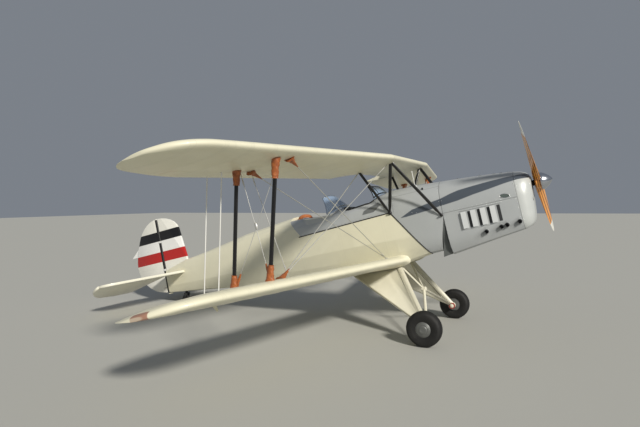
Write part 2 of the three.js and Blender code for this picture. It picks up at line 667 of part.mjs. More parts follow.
function addWires() {
  const thickness = 9;
  for (const { name, side } of sides) {
    const rootLug = at(-395, side * 428, 846);
    const outerLug = wingPoint(lowerWing, side * wing.wireY, lowerWing.frontSpar, 60);
    const upperEnd = (y, behind) => wingPoint(upperWing, side * y, behind, -10);
    const { frontSpar, rearSpar } = upperWing;
    const flyingEnds = [frontSpar, rearSpar].map((behind) => upperEnd(wing.wireY, behind));
    const landingEnds = [upperEnd(cabane.topY, 130), upperEnd(cabane.topY + 25, 500)];
    const pairs = [
      { title: 'flying_wires', lug: rootLug, ends: flyingEnds },
      { title: 'landing_wires', lug: outerLug, ends: landingEnds },
    ];
    for (const { title, lug, ends } of pairs) {
      const wires = ends.map((end) => bar(lug, end, thickness, thickness, 6));
      const plate = bar(lug.clone().add(at(0, 0, -60)), lug.clone().add(at(0, 0, 10)), 34, 12, 8);
      const above = title === 'flying_wires' ? panels['upper' + name] : panels.centre;
      add(`${title}_${name}`, seat(join(...wires, plate), above, panels['lower' + name], hull), steel);
    }
  }
}

const aileronRod = { y: 2650, behind: 830, radius: 6, ballRadius: 8 };

function addAileronRods() {
  const { y, behind, radius, ballRadius } = aileronRod;
  for (const { name, side } of sides) {
    const low = wingPoint(lowerWing, side * y, behind, sectionHeight(behind, 'up') + ballRadius + 0.5);
    const high = wingPoint(upperWing, side * y, behind, sectionHeight(behind, 'down') - ballRadius - 7);
    const tube = bar(low, high, 2 * radius, 2 * radius, 8);
    add(`aileron_rod_${name}`, join(tube, ball(low, ballRadius), ball(high, ballRadius)), cream);
  }
}

// Undercarriage

const legTop = { x: -300, y: 293, z: 690 };
const apex = { x: -143, z: 353 };

function addGear() {
  const { halfTrack, width, rimWidth } = wheel;
  const axleInner = halfTrack - width / 2 - 40;
  for (const { name, side } of sides) {
    const end = at(0, side * axleInner, 0);
    const head = at(legTop.x - 24, side * (legTop.y - 30), legTop.z + 60);
    const leg = bar(head, end, 70, 40, 12);
    const rearTop = at(-934, side * 270, 690);
    const rear = bar(rearTop, end.clone().add(at(-30, 0, 10)), 26, 26, 10);
    const web = loft([
      fairingRing(head, rearTop, 22),
      fairingRing(end.clone().add(at(4, 0, 12)), end.clone().add(at(-40, 0, 12)), 22),
    ]);
    const axleEnd = at(0, side * (halfTrack - rimWidth / 2 - 8 - seatGap), 0);
    const axle = bar(end.clone().add(at(0, -side * 30, 0)), axleEnd, 46, 46, 14);
    const knuckle = ball(end, 42);
    const body = seat(join(leg, rear, web, axle, knuckle), panels['lower' + name], hull);
    add(`gear_leg_${name}`, body, cream);
    panels['gear' + name] = body;
  }
  const centre = at(apex.x, 0, apex.z);
  const axles = sides.map(({ side }) => bar(centre, at(0, side * axleInner, 0), 36, 26, 10));
  const braces = sides.map(({ side }) => bar(centre, at(-330, side * 250, 760), 24, 24, 10));
  const pyramid = join(...axles, ...braces, ball(centre, 28));
  add('gear_pyramid', seat(pyramid, hull, panels.gearright, panels.gearleft), cream);
}

// A flat lens between two points in side view.
function fairingRing(front, rear, thick) {
  const middle = front.clone().lerp(rear, 0.3);
  const across = at(0, thick / 2, 0);
  return [front, middle.clone().add(across), rear, middle.clone().sub(across)];
}

function addWheels() {
  const { radius, width, halfTrack, rimRadius, rimWidth } = wheel;
  const tyreProfile = [
    [rimRadius, -rimWidth / 2], [radius * 0.72, -width * 0.48], [radius * 0.87, -width * 0.47],
    [radius * 0.96, -width * 0.33], [radius, -width * 0.14], [radius, width * 0.14],
    [radius * 0.96, width * 0.33], [radius * 0.87, width * 0.47], [radius * 0.72, width * 0.48],
    [rimRadius, rimWidth / 2], [rimRadius, -rimWidth / 2],
  ];
  const bead = rimRadius - seatGap;
  const hubProfile = [
    [0, -rimWidth / 2 - 8], [60, -rimWidth / 2 - 8], [bead, -rimWidth / 2 + 6], [bead, rimWidth / 2 - 6],
    [92, rimWidth / 2 + 7], [66, wheel.capOut - 7], [46, wheel.capOut], [0, wheel.capOut],
  ];
  for (const { name, side } of sides) {
    const centre = at(0, side * halfTrack, 0);
    add(`tyre_${name}`, spun(tyreProfile, 40, centre, at(0, side, 0)), rubber);
    add(`wheel_hub_${name}`, spun(hubProfile, 24, centre, at(0, side, 0)), steel);
  }
}

// Tail

function finOutline() {
  const back = rudderHinge.x + rudderHinge.radius + rudderHinge.gap;
  const shape = new THREE.Shape();
  shape.moveTo(back, 1290);
  shape.lineTo(-3886, 1290);
  shape.lineTo(-3890, 1500);
  shape.lineTo(-3955, 1960);
  shape.bezierCurveTo(-3985, 2110, -4190, 2196, back, 2203);
  return shape;
}

function rudderOutline() {
  const { x, bottomZ } = rudderHinge;
  const shape = new THREE.Shape();
  shape.moveTo(x, bottomZ);
  shape.lineTo(x, 2204);
  shape.bezierCurveTo(-4560, 2196, -4700, 2120, -4812, 1968);
  shape.bezierCurveTo(-4890, 1840, -4990, 1620, -4998, 1470);
  shape.bezierCurveTo(-5000, 1330, -4920, 1130, -4680, 1022);
  shape.quadraticCurveTo(-4560, 975, x, bottomZ);
  return shape;
}

function addTail() {
  const { surfaceThickness } = tail;
  const half = surfaceThickness / 2;
  const fin = cut(sidePlate(finOutline(), -half, half, 10), swollen(stabilizer));
  add('fin', seat(fin, hull), cream);
  add('stabilizer', stabilizer, cream);
  const { x, bottomZ } = rudderHinge;
  const hinge = bar(at(x, 0, bottomZ), at(x, 0, 2198), 2 * half, 2 * half, 12);
  const pintle = bar(at(x, 0, bottomZ - 12), at(x, 0, bottomZ + 5), 14, 14, 8);
  const tab = sidePlate([[-4840, 1830], [-4889, 1805], [-5094, 1656], [-5096, 1648], [-4900, 1648]], -2, 2);
  const blade = sidePlate(rudderOutline(), -half, half, 10);
  add('rudder', largest(join(blade, hinge, pintle, tab)), cream);
  add('elevator', elevatorBody(), cream);
}

function elevatorBody() {
  const { x, z, tubeRadius, droop } = elevatorHinge;
  const half = tail.surfaceThickness / 2;
  const out = tail.stabilizerHalf;
  const tube = bar(at(x, -out + 20, z), at(x, out - 20, z), 2 * tubeRadius, 2 * tubeRadius, 16);
  const halves = sides.map(({ side }) => {
    const shape = new THREE.Shape();
    shape.moveTo(x, side * 110);
    shape.lineTo(x, side * out);
    shape.quadraticCurveTo(x - 250, side * (out + 10), x - 420, side * (out - 300));
    shape.lineTo(x - 465, side * (out - 600));
    shape.lineTo(x - 470, side * 520);
    shape.lineTo(x - 430, side * 440);
    return planPlate(shape, z - half, z + half, 10);
  });
  const level = largest(join(tube, ...halves));
  return level.translate([-x, 0, -z]).rotate([0, -droop, 0]).translate([x, 0, z]);
}

function addTailWheel() {
  const { x, z, radius, width, forkX, swivelZ } = tailWheel;
  const post = bar(at(forkX, 0, 960), at(forkX, 0, swivelZ), 44, 44, 12);
  const spring = bar(at(forkX + 260, 0, 935), at(forkX + 5, 0, swivelZ + 24), 22, 44, 8);
  add('tail_wheel_strut', seat(join(post, spring), hull), darkMetal);
  const cheekY = width / 2 + 6;
  const crown = box(forkX - 24, forkX + 24, -cheekY - 8, cheekY + 8, z + radius + 8, swivelZ - seatGap);
  const cheeks = [-1, 1].map((side) => {
    const top = z + radius + 10;
    const outline = [[forkX - 24, top], [forkX + 24, top], [x + 16, z - 16], [x - 16, z - 16]];
    const [a, b] = side > 0 ? [cheekY, cheekY + 8] : [-cheekY - 8, -cheekY];
    return sidePlate(outline, a, b);
  });
  const pins = [-1, 1].map((side) =>
    bar(at(x, side * (cheekY + 2), z), at(x, side * (width / 2 - 8 + seatGap), z), 18, 18, 8));
  add('tail_wheel_fork', join(crown, ...cheeks, ...pins), darkMetal);
  const hubHalf = width / 2 - 8;
  const profile = [
    [0, -hubHalf], [36, -hubHalf], [52, -width / 2], [70, -width * 0.4], [radius, -width * 0.15],
    [radius, width * 0.15], [70, width * 0.4], [52, width / 2], [36, hubHalf], [0, hubHalf],
  ];
  add('tail_wheel', spun(profile, 28, at(x, 0, z), at(0, 1, 0)), rubber);
}

// Cockpits

function addCockpits() {
  for (const [name, { seatX, panelX, stickX }] of Object.entries(cockpits)) {
    const floor = bay.floorZ + seatGap;
    const seatSide = [
      [0, 1400], [14, 1400], [50, 1015], [370, 1035], [370, 1005],
      [300, 1000], [300, floor], [80, floor], [80, 990], [18, 990],
    ];
    add(`seat_${name}`, sidePlate(seatSide.map(([x, z]) => [seatX + x, z]), -190, 190), leather);
    const slice = box(panelX - 8, panelX + 8, -wide, wide, 1270, far);
    add(`instrument_panel_${name}`, hullRoom(skin + 1).intersect(slice), blackPaint);
    const column = bar(at(stickX, 0, floor + 5), at(stickX - 20, 0, 1250), 24, 24, 10);
    const foot = box(stickX - 40, stickX + 40, -40, 40, floor, floor + 30);
    add(`control_stick_${name}`, join(column, ball(at(stickX - 20, 0, 1262), 24), foot), darkMetal);
  }
  for (const row of screenTable) {
    add(row.name, seat(windscreen(row), hull), glass);
  }
}

const screenTable = [
  // foot and top: foremost station, sweep of the sides, half width, height of the middle and of the sides
  { name: 'windscreen_front', foot: { x: -385, sweep: 60, half: 270, z: 1676, sideZ: 1612 },
    top: { x: -478, sweep: 30, half: 225, z: 1788, sideZ: 1788 } },
  { name: 'windscreen_rear', foot: { x: -957, sweep: 175, half: 318, z: 1642, sideZ: 1548 },
    top: { x: -1130, sweep: 70, half: 190, z: 1825, sideZ: 1795 } },
];

// A wrapped sheet between two curves, carried on down into the deck, which trims it.
function windscreen({ foot, top }) {
  const steps = 10;
  const depth = 60;
  const thick = 5;
  const curve = ({ x, sweep, half, z, sideZ }, offset) => Array.from({ length: steps + 1 }, (_, i) => {
    const angle = (i / steps - 0.5) * Math.PI * 0.96;
    const back = 1 - Math.cos(angle);
    return at(x - sweep * back - offset, (half - offset) * Math.sin(angle), z + (sideZ - z) * back);
  });
  const band = (curveTable) => [...curve(curveTable, 0), ...curve(curveTable, thick).reverse()];
  const sunk = { ...foot, z: foot.z - depth, sideZ: foot.sideZ - depth, half: foot.half - 22 };
  const lower = stripLoft(band(sunk), band(foot), steps + 1);
  return join(lower, stripLoft(band(foot), band(top), steps + 1));
}

// A body between two thin curved bands, whose ends are closed by quads and not by a fan.
function stripLoft(low, high, count) {
  const points = [...low, ...high];
  const total = low.length;
  const index = [];
  for (let i = 0; i < total; i += 1) {
    const j = (i + 1) % total;
    index.push(i, j, j + total, i, j + total, i + total);
  }
  for (let i = 0; i < count - 1; i += 1) {
    const [a, b, c, d] = [i, i + 1, total - 2 - i, total - 1 - i];
    index.push(a, c, b, a, d, c);
    index.push(a + total, b + total, c + total, a + total, c + total, d + total);
  }
  if (signedVolume(points, index) < 0) {
    for (let i = 0; i < index.length; i += 3) {
      [index[i], index[i + 1]] = [index[i + 1], index[i]];
    }
  }
  const geometry = new THREE.BufferGeometry().setFromPoints(points);
  geometry.setIndex(index);
  return closedSolid(geometry);
}

addFuselage();
addCowling();
addEngine();
addPropeller();
addWings();
addStruts();
addWires();
addAileronRods();
addGear();
addWheels();
addTail();
addTailWheel();
addCockpits();

// The origin is on the ground under the middle of the machine's box.
function standOnGround(group) {
  const holder = new THREE.Group();
  holder.add(group);
  holder.updateMatrixWorld(true);
  const box3 = new THREE.Box3().setFromObject(group, true);
  const middle = box3.getCenter(at(0, 0, 0));
  group.position.set(-middle.x, 0, -box3.min.z);
  return holder;
}

const biplane = standOnGround(airframe);
biplane.name = 'biplane';

export default biplane;
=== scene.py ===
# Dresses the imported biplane: doped fabric, painted metal, rigging, boots, cockpits and wheels. Metres.
import json
import math

import bmesh
import bpy
import numpy as np
from mathutils import Matrix, Vector
from mathutils.bvhtree import BVHTree
from mathutils.interpolate import poly_3d_calc


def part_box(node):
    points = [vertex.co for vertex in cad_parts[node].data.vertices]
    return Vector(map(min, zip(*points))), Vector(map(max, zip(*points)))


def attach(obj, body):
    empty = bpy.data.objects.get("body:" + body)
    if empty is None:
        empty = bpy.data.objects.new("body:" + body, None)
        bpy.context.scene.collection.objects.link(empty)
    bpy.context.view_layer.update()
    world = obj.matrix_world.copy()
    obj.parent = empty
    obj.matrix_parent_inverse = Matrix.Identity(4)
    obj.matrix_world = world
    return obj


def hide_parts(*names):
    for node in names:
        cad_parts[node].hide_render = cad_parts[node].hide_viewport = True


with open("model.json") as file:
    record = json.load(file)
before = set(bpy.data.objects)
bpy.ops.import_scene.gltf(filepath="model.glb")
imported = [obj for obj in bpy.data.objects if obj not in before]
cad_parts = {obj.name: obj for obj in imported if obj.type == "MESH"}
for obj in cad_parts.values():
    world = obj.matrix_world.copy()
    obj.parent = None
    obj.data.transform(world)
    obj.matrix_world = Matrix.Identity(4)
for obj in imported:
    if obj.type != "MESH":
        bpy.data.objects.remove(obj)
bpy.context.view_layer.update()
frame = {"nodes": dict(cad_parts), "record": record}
scene = bpy.context.scene
print("frame loaded:", len(frame["nodes"]), "nodes")

# Airframe axes: +X forward along the thrust line, +Y to port, +Z up, zero at the middle of the main axle

pitch = math.radians(12.78)  # nose up, as it parks
tyreLow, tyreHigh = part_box("tyre_right")
axle = Vector(((tyreLow.x + tyreHigh.x) / 2, 0, (tyreLow.z + tyreHigh.z) / 2))
turnUp = Matrix.Rotation(-pitch, 3, "Y")


def place(x, y, z):
    return axle + turnUp @ Vector((x, y, z))


def direction(x, y, z):
    return turnUp @ Vector((x, y, z))


# Camera and light

view = {
    "spot": (1.557, -6.44, 1.4445),  # from the middle of the main axle
    "yaw": 26.829,
    "tilt": -1.321,
    "roll": -0.542,
    "focal": 512.8,  # in pixels of a 640 wide picture
}


def makeCamera():
    yaw, tilt, roll = (math.radians(view[key]) for key in ("yaw", "tilt", "roll"))
    ahead = Vector((-math.sin(yaw) * math.cos(tilt), math.cos(yaw) * math.cos(tilt), math.sin(tilt)))
    right = Vector((math.cos(yaw), math.sin(yaw), 0))
    up = right.cross(ahead)
    right, up = right * math.cos(roll) + up * math.sin(roll), up * math.cos(roll) - right * math.sin(roll)
    data = bpy.data.cameras.new("camera")
    data.sensor_width = 36
    data.lens = view["focal"] / 640 * 36
    data.clip_end = 200
    camera = bpy.data.objects.new("camera", data)
    axes = Matrix((right, up, -ahead)).transposed()
    camera.matrix_world = Matrix.Translation(axle + Vector(view["spot"])) @ axes.to_4x4()
    scene.collection.objects.link(camera)
    scene.camera = camera


light = {
    "sky": (0.80, 0.88, 1.0),
    "skyStrength": 0.25,
    "sunStrength": 3.6,
    "sunColour": (1.0, 0.955, 0.87),
    "sunFrom": (0.69, -0.50, 0.53),  # towards the sun
    "sunAngle": 7,
    "floor": (0.46, 0.46, 0.43),
}


def makeLight():
    world = bpy.data.worlds.new("studio")
    scene.world = world
    scene.view_settings.view_transform = "Standard"
    world.use_nodes = True
    background = world.node_tree.nodes["Background"]
    background.inputs[0].default_value = (*light["sky"], 1)
    background.inputs[1].default_value = light["skyStrength"]
    data = bpy.data.lights.new("sun", "SUN")
    data.energy = light["sunStrength"]
    data.color = light["sunColour"]
    data.angle = math.radians(light["sunAngle"])
    sun = bpy.data.objects.new("sun", data)
    sun.rotation_euler = Vector(light["sunFrom"]).to_track_quat("Z", "Y").to_euler()
    scene.collection.objects.link(sun)
    size = 60
    mesh = bpy.data.meshes.new("floor")
    corners = [(-size, -size, 0), (size, -size, 0), (size, size, 0), (-size, size, 0)]
    mesh.from_pydata(corners, [], [(0, 1, 2, 3)])
    floor = bpy.data.objects.new("floor", mesh)
    scene.collection.objects.link(floor)
    material = bpy.data.materials.new("floor")
    material.use_nodes = True
    shader = material.node_tree.nodes["Principled BSDF"]
    shader.inputs["Base Color"].default_value = (*light["floor"], 1)
    shader.inputs["Roughness"].default_value = 0.9
    mesh.materials.append(material)


makeCamera()
makeLight()
print("camera and light made")

# Shader maths


class Wire:  # one output socket, or one number, that takes part in sums
    def __init__(self, finish, socket):
        self.finish = finish
        self.socket = socket

    def math(self, operation, *others, clamp=False):
        values = {i: other for i, other in enumerate((self, *others))}
        return self.finish.add("ShaderNodeMath", {"operation": operation, "use_clamp": clamp}, values)

    def __add__(self, other):
        return self.math("ADD", other)

    def __radd__(self, other):
        return self.math("ADD", other)

    def __sub__(self, other):
        return self.math("SUBTRACT", other)

    def __rsub__(self, other):
        return self.finish.number(other).math("SUBTRACT", self)

    def __mul__(self, other):
        return self.math("MULTIPLY", other)

    def __rmul__(self, other):
        return self.math("MULTIPLY", other)

    def __truediv__(self, other):
        return self.math("DIVIDE", other)

    def __abs__(self):
        return self.math("ABSOLUTE")

    def sine(self):
        return self.math("SINE")

    def above(self, edge, soft=0.002):  # 0 below the edge, 1 above it
        return ((self - edge) * (0.5 / soft) + 0.5).math("ADD", 0, clamp=True)

    def below(self, edge, soft=0.002):
        return ((edge - self) * (0.5 / soft) + 0.5).math("ADD", 0, clamp=True)

    def between(self, low, high, soft=0.002):
        return self.above(low, soft) * self.below(high, soft)

    def orElse(self, other):
        return self.math("MAXIMUM", other)


class Finish:  # a material under construction
    def __init__(self, name, colour=(0.5, 0.5, 0.5), roughness=0.5, metallic=0.0, coat=0.0):
        self.material = bpy.data.materials.new(name)
        self.material.use_nodes = True
        self.tree = self.material.node_tree
        self.shader = self.tree.nodes["Principled BSDF"]
        self.shader.inputs["Base Color"].default_value = (*colour, 1)
        self.shader.inputs["Roughness"].default_value = roughness
        self.shader.inputs["Metallic"].default_value = metallic
        self.shader.inputs["Coat Weight"].default_value = coat
        self.shader.inputs["Coat Roughness"].default_value = 0.08
        self.material.diffuse_color = (*colour, 1)

    def put(self, socket, value):
        if isinstance(value, Wire):
            self.tree.links.new(value.socket, socket)
        elif isinstance(value, tuple) and len(value) == 3 and socket.type == "RGBA":
            socket.default_value = (*value, 1)
        else:
            socket.default_value = value

    def add(self, kind, settings=None, values=None, output=0):
        node = self.tree.nodes.new(kind)
        for key, value in (settings or {}).items():
            if key == "stops":
                self.rampStops(node.color_ramp, value)
            else:
                setattr(node, key, value)
        for key, value in (values or {}).items():
            self.put(node.inputs[key], value)
        return Wire(self, node.outputs[output])

    def rampStops(self, ramp, stops):
        while len(ramp.elements) < len(stops):
            ramp.elements.new(0.5)
        for element, (position, colour) in zip(ramp.elements, stops):
            element.position = position
            element.color = (*colour, 1)

    def number(self, value):
        return self.add("ShaderNodeMath", {"operation": "ADD"}, {0: value, 1: 0.0})

    def spot(self):  # the point in airframe axes
        start = self.add("ShaderNodeTexCoord", output="Object")
        origin = turnUp.inverted() @ axle
        return self.add("ShaderNodeMapping", {}, {
            "Vector": start, "Location": tuple(-origin), "Rotation": (0, pitch, 0)})

    def axes(self):
        point = self.spot()
        parts = self.add("ShaderNodeSeparateXYZ", {}, {0: point}).socket.node.outputs
        return point, *(Wire(self, part) for part in parts)

    def noise(self, point, scale, detail=3, roughness=0.5, stretch=None):
        if stretch:
            point = self.add("ShaderNodeVectorMath", {"operation": "MULTIPLY"}, {0: point, 1: stretch})
        return self.add("ShaderNodeTexNoise", {}, {
            "Vector": point, "Scale": scale, "Detail": detail, "Roughness": roughness})

    def mix(self, factor, first, second):
        return self.add("ShaderNodeMix", {"data_type": "RGBA"}, {"Factor": factor, 6: first, 7: second}, 2)

    def shade(self, colour, amount):  # colour made lighter or darker by a value around 1
        return self.add("ShaderNodeVectorMath", {"operation": "SCALE"}, {0: colour, "Scale": amount})

    def bump(self, height, distance, strength=1.0):
        normal = self.add("ShaderNodeBump", {}, {
            "Height": height, "Distance": distance, "Strength": strength})
        self.put(self.shader.inputs["Normal"], normal)

    def set(self, **values):
        names = {"colour": "Base Color", "roughness": "Roughness", "metallic": "Metallic", "coat": "Coat Weight"}
        for key, value in values.items():
            self.put(self.shader.inputs[names[key]], value)


colours = {
    "cream": (0.80, 0.77, 0.60),
    "creamDeep": (0.77, 0.74, 0.57),
    "creamWhite": (0.84, 0.83, 0.76),
    "silver": (0.405, 0.43, 0.44),
    "noseWhite": (0.50, 0.53, 0.52),
    "stripe": (0.078, 0.094, 0.118),
    "black": (0.006, 0.006, 0.007),
    "white": (0.86, 0.86, 0.84),
    "red": (0.47, 0.016, 0.014),
    "boot": (0.50, 0.155, 0.040),
    "leather": (0.34, 0.11, 0.04),
    "headrest": (0.66, 0.22, 0.065),
    "wood": (0.80, 0.34, 0.070),
    "woodDark": (0.17, 0.055, 0.014),
}


def rampOf(finish, value, low, high, stops):  # a curve through (place, height) stops, read between low and high
    spread = [((place - low) / (high - low), (height,) * 3) for place, height in stops]
    return finish.add("ShaderNodeValToRGB", {"stops": spread}, {0: (value - low) / (high - low)})


def ribGap(cells, pitch):  # how far a point lies from the nearest rib
    return abs(cells.math("FRACT") - 0.5) * pitch


def tapeOf(gap, half, soft, line):  # the tape over a rib, and the fine line along its edges
    return gap.below(half, soft), abs(gap - half).below(line, line)


weave = {"threads": 2600, "depth": 0.05}


def weaveOf(across, along):
    return (across * weave["threads"]).sine() * (along * weave["threads"]).sine() * weave["depth"]


wingLook = {
    "ribPitch": 0.27,
    "tapeWidth": 0.036,
    "tapeShade": 0.018,
    "edgeShade": 0.099,
    "stitches": 21,  # in a metre
    "patch": {"span": (3.655, 3.70), "chord": (-1.26, -1.09), "below": 1.4, "colour": (0.33, 0.14, 0.09)},
}


def wingFinish():
    finish = Finish("wing_fabric", colours["cream"], 0.42, coat=0.12)
    point, x, y, z = finish.axes()
    tone = finish.noise(point, 1.1, 3) * 0.12 + finish.noise(point, 11, 2) * 0.05 + 0.915
    base = finish.mix(finish.noise(point, 0.8, 2), colours["cream"], colours["creamDeep"])
    fromRib = ribGap(abs(y) / wingLook["ribPitch"] + 0.5, wingLook["ribPitch"])
    tape, edge = tapeOf(fromRib, wingLook["tapeWidth"] / 2, 0.003, 0.0016)
    shade = (1 - edge * wingLook["edgeShade"]) * (1 - tape * wingLook["tapeShade"])
    colour = finish.shade(base, tone * shade)
    patch = wingLook["patch"]  # reinforced leading edge near the lower tips
    patched = abs(y).between(*patch["span"], 0.004) * z.below(patch["below"]) * x.between(*patch["chord"], 0.004)
    colour = finish.mix(patched * 0.9, colour, patch["colour"])
    stitch = ribGap(x * wingLook["stitches"], 1).below(0.055, 0.03) * fromRib.below(0.005, 0.002)
    finish.set(colour=colour, roughness=finish.noise(point, 6, 3) * 0.16 + 0.36)
    finish.bump(weaveOf(x, y) + tape * 0.6 + stitch * 0.7, 0.0007, 0.5)
    return finish.material


fuselageLook = {
    "framePitch": 0.62,
    "firstFrame": -0.05,
    "tapeWidth": 0.036,
    "bottomDarkening": 0.10,
    "crease": 1.055,
}


def fuselageFinish():
    finish = Finish("fuselage_fabric", colours["cream"], 0.4, coat=0.18)
    point, x, _, z = finish.axes()
    tone = finish.noise(point, 1.5, 4) * 0.10 + finish.noise(point, 12, 2) * 0.04 + 0.93
    # darker towards the bottom, in patches
    low = z.below(0.95, 0.35) * finish.noise(point, 5, 4) * fuselageLook["bottomDarkening"]
    # painted shade: the sides below the crease are a little darker, for the lower faces turned away from the light
    low = low + z.below(fuselageLook["crease"], 0.008) * 0.03
    base = finish.mix(finish.noise(point, 0.8, 2), colours["cream"], colours["creamDeep"])
    pitchLength = fuselageLook["framePitch"]
    fromFrame = ribGap((x - fuselageLook["firstFrame"]) / pitchLength, pitchLength)
    tape, edge = tapeOf(fromFrame, fuselageLook["tapeWidth"] / 2, 0.003, 0.0015)
    finish.set(colour=finish.shade(base, tone * (1 - edge * 0.07) - low),
               roughness=finish.noise(point, 7, 3) * 0.16 + 0.32)
    finish.bump(weaveOf(x, z) + tape * 0.5, 0.0006, 0.5)
    return finish.material


bandLook = {
    "black": (1.826, 1.983),
    "white": (1.646, 1.826),
    "red": (1.48, 1.646),
    "hingeX": -4.397,
    "hingeHalf": 0.028,
    "hingeTop": 2.190,
    "ribPitch": 0.21,
    "planePitch": 0.2,
    "tapeWidth": 0.028,
}


def tailFinish():
    finish = Finish("tail_fabric", colours["creamWhite"], 0.38, coat=0.2)
    point, x, _, z = finish.axes()
    colour = finish.mix(z.between(*bandLook["black"]), colours["creamWhite"], colours["black"])
    colour = finish.mix(z.between(*bandLook["white"]), colour, colours["white"])
    colour = finish.mix(z.between(*bandLook["red"]), colour, colours["red"])
    hinge = abs(x - bandLook["hingeX"]).below(bandLook["hingeHalf"]) * z.below(bandLook["hingeTop"])
    colour = finish.mix(hinge, colour, colours["black"])
    tone = finish.noise(point, 2.2, 3) * 0.1 + finish.noise(point, 14, 2) * 0.04 + 0.92
    fromRib = ribGap(z / bandLook["ribPitch"] + x * 0.25, bandLook["ribPitch"])
    tape, edge = tapeOf(fromRib, bandLook["tapeWidth"] / 2, 0.004, 0.0014)
    finish.set(colour=finish.shade(colour, tone * (1 - edge * 0.06)),
               roughness=finish.noise(point, 7, 3) * 0.15 + 0.32)
    finish.bump(tape, 0.0007, 0.5)
    return finish.material


def planeTailFinish():  # tailplane and elevator, with their ribs fore and aft
    finish = Finish("tailplane_fabric", colours["creamWhite"], 0.4, coat=0.15)
    point, _, y, _ = finish.axes()
    base = finish.mix(finish.noise(point, 1.2, 2), colours["cream"], colours["creamWhite"])
    tone = finish.noise(point, 2.2, 3) * 0.1 + 0.93
    fromRib = ribGap(abs(y) / bandLook["planePitch"], bandLook["planePitch"])
    tape, edge = tapeOf(fromRib, bandLook["tapeWidth"] / 2, 0.004, 0.0014)
    finish.set(colour=finish.shade(base, tone * (1 - edge * 0.07)),
               roughness=finish.noise(point, 7, 3) * 0.15 + 0.32)
    finish.bump(tape, 0.0007, 0.5)
    return finish.material


metalLook = {
    "stripeTop": [(-0.115, 1.294), (0.041, 1.361), (0.238, 1.391), (0.39, 1.412), (0.52, 1.446), (0.614, 1.464),
                  (0.794, 1.475), (0.968, 1.483), (1.138, 1.486), (1.285, 1.482), (1.42, 1.474)],
    "stripeLow": [(-0.115, 1.291), (-0.052, 1.290), (0.222, 1.308), (0.374, 1.326), (0.593, 1.345), (0.778, 1.374),
                  (0.955, 1.394), (1.128, 1.418), (1.279, 1.431), (1.42, 1.424)],
    "seam": 0.0024,  # half its width
    "firewallX": 0.391,
    "bowlX": 1.238,
    "splitZ": 1.236,
    "deckLap": (-0.19, 1.570),
    "deckFoot": 1.384,
    "louvres": {"from": 0.596, "pitch": 0.110, "blade": 0.072, "low": 1.008, "high": 1.197, "count": 4},
    "stubs": [(0.832, 0.928), (1.004, 0.948), (1.067, 0.956), (1.205, 0.966)],
    "sideWall": 0.25,
    "slotShade": (0.035, 0.037, 0.04),
    "soot": {"length": 0.17, "half": 0.022, "fall": 0.35, "strength": 0.75},
    # a cast shadow painted on the side by the front cockpit, and its dark colour
    "shadowPatch": [(-0.61, 1.437), (-0.576, 1.49), (-0.519, 1.507), (-0.381, 1.554), (-0.339, 1.514),
                  (-0.449, 1.441)],
    "shadowPatchColour": (0.16, 0.17, 0.175),
}


def stripeOf(finish, x, z):  # the tapering band along the nose
    low, high = metalLook["stripeTop"][0][0], metalLook["stripeTop"][-1][0]
    top, bottom = (rampOf(finish, x, low, high, [(place, height - 1) for place, height in metalLook[edge]])
                   for edge in ("stripeTop", "stripeLow"))
    return (z - 1 - bottom).above(0, 0.003) * (top - (z - 1)).above(0, 0.003) * x.above(low, 0.004)


def seamsOf(x, z):
    half, soft = metalLook["seam"], 0.0015
    firewall, bowl, split = metalLook["firewallX"], metalLook["bowlX"], metalLook["splitZ"]
    lapX, lapZ = metalLook["deckLap"]
    seams = abs(x - firewall).below(half, soft)
    seams = seams.orElse(abs(z - split).below(half, soft) * x.above(firewall) * x.below(bowl))
    seams = seams.orElse(abs(x - bowl).below(half, soft))
    seams = seams.orElse(abs(z - lapZ).below(half * 0.6, soft) * x.between(lapX, firewall - 0.001))
    return seams.orElse(abs(x - lapX).below(half * 0.6, soft) * z.above(metalLook["deckFoot"]))


def sootOf(x, y, z):  # the stains behind the exhaust stubs, to starboard
    look = metalLook["soot"]
    soot = 0
    for stubX, stubZ in metalLook["stubs"]:
        along = (stubX - x) / look["length"]
        spread = abs((z - stubZ + (stubX - x) * look["fall"]) / look["half"]).below(1, 1.6)
        stain = along.between(0, 1, 0.02) * (1 - along) * spread * y.below(0)
        soot = stain.orElse(soot)
    return soot


def panelOf(x, z, corners):  # inside an outline that runs clockwise
    inside = 1
    for (ax, az), (bx, bz) in zip(corners, corners[1:] + corners[:1]):
        inside = ((z - az) * (ax - bx) - (x - ax) * (az - bz)).above(0, 0.0004) * inside
    return inside


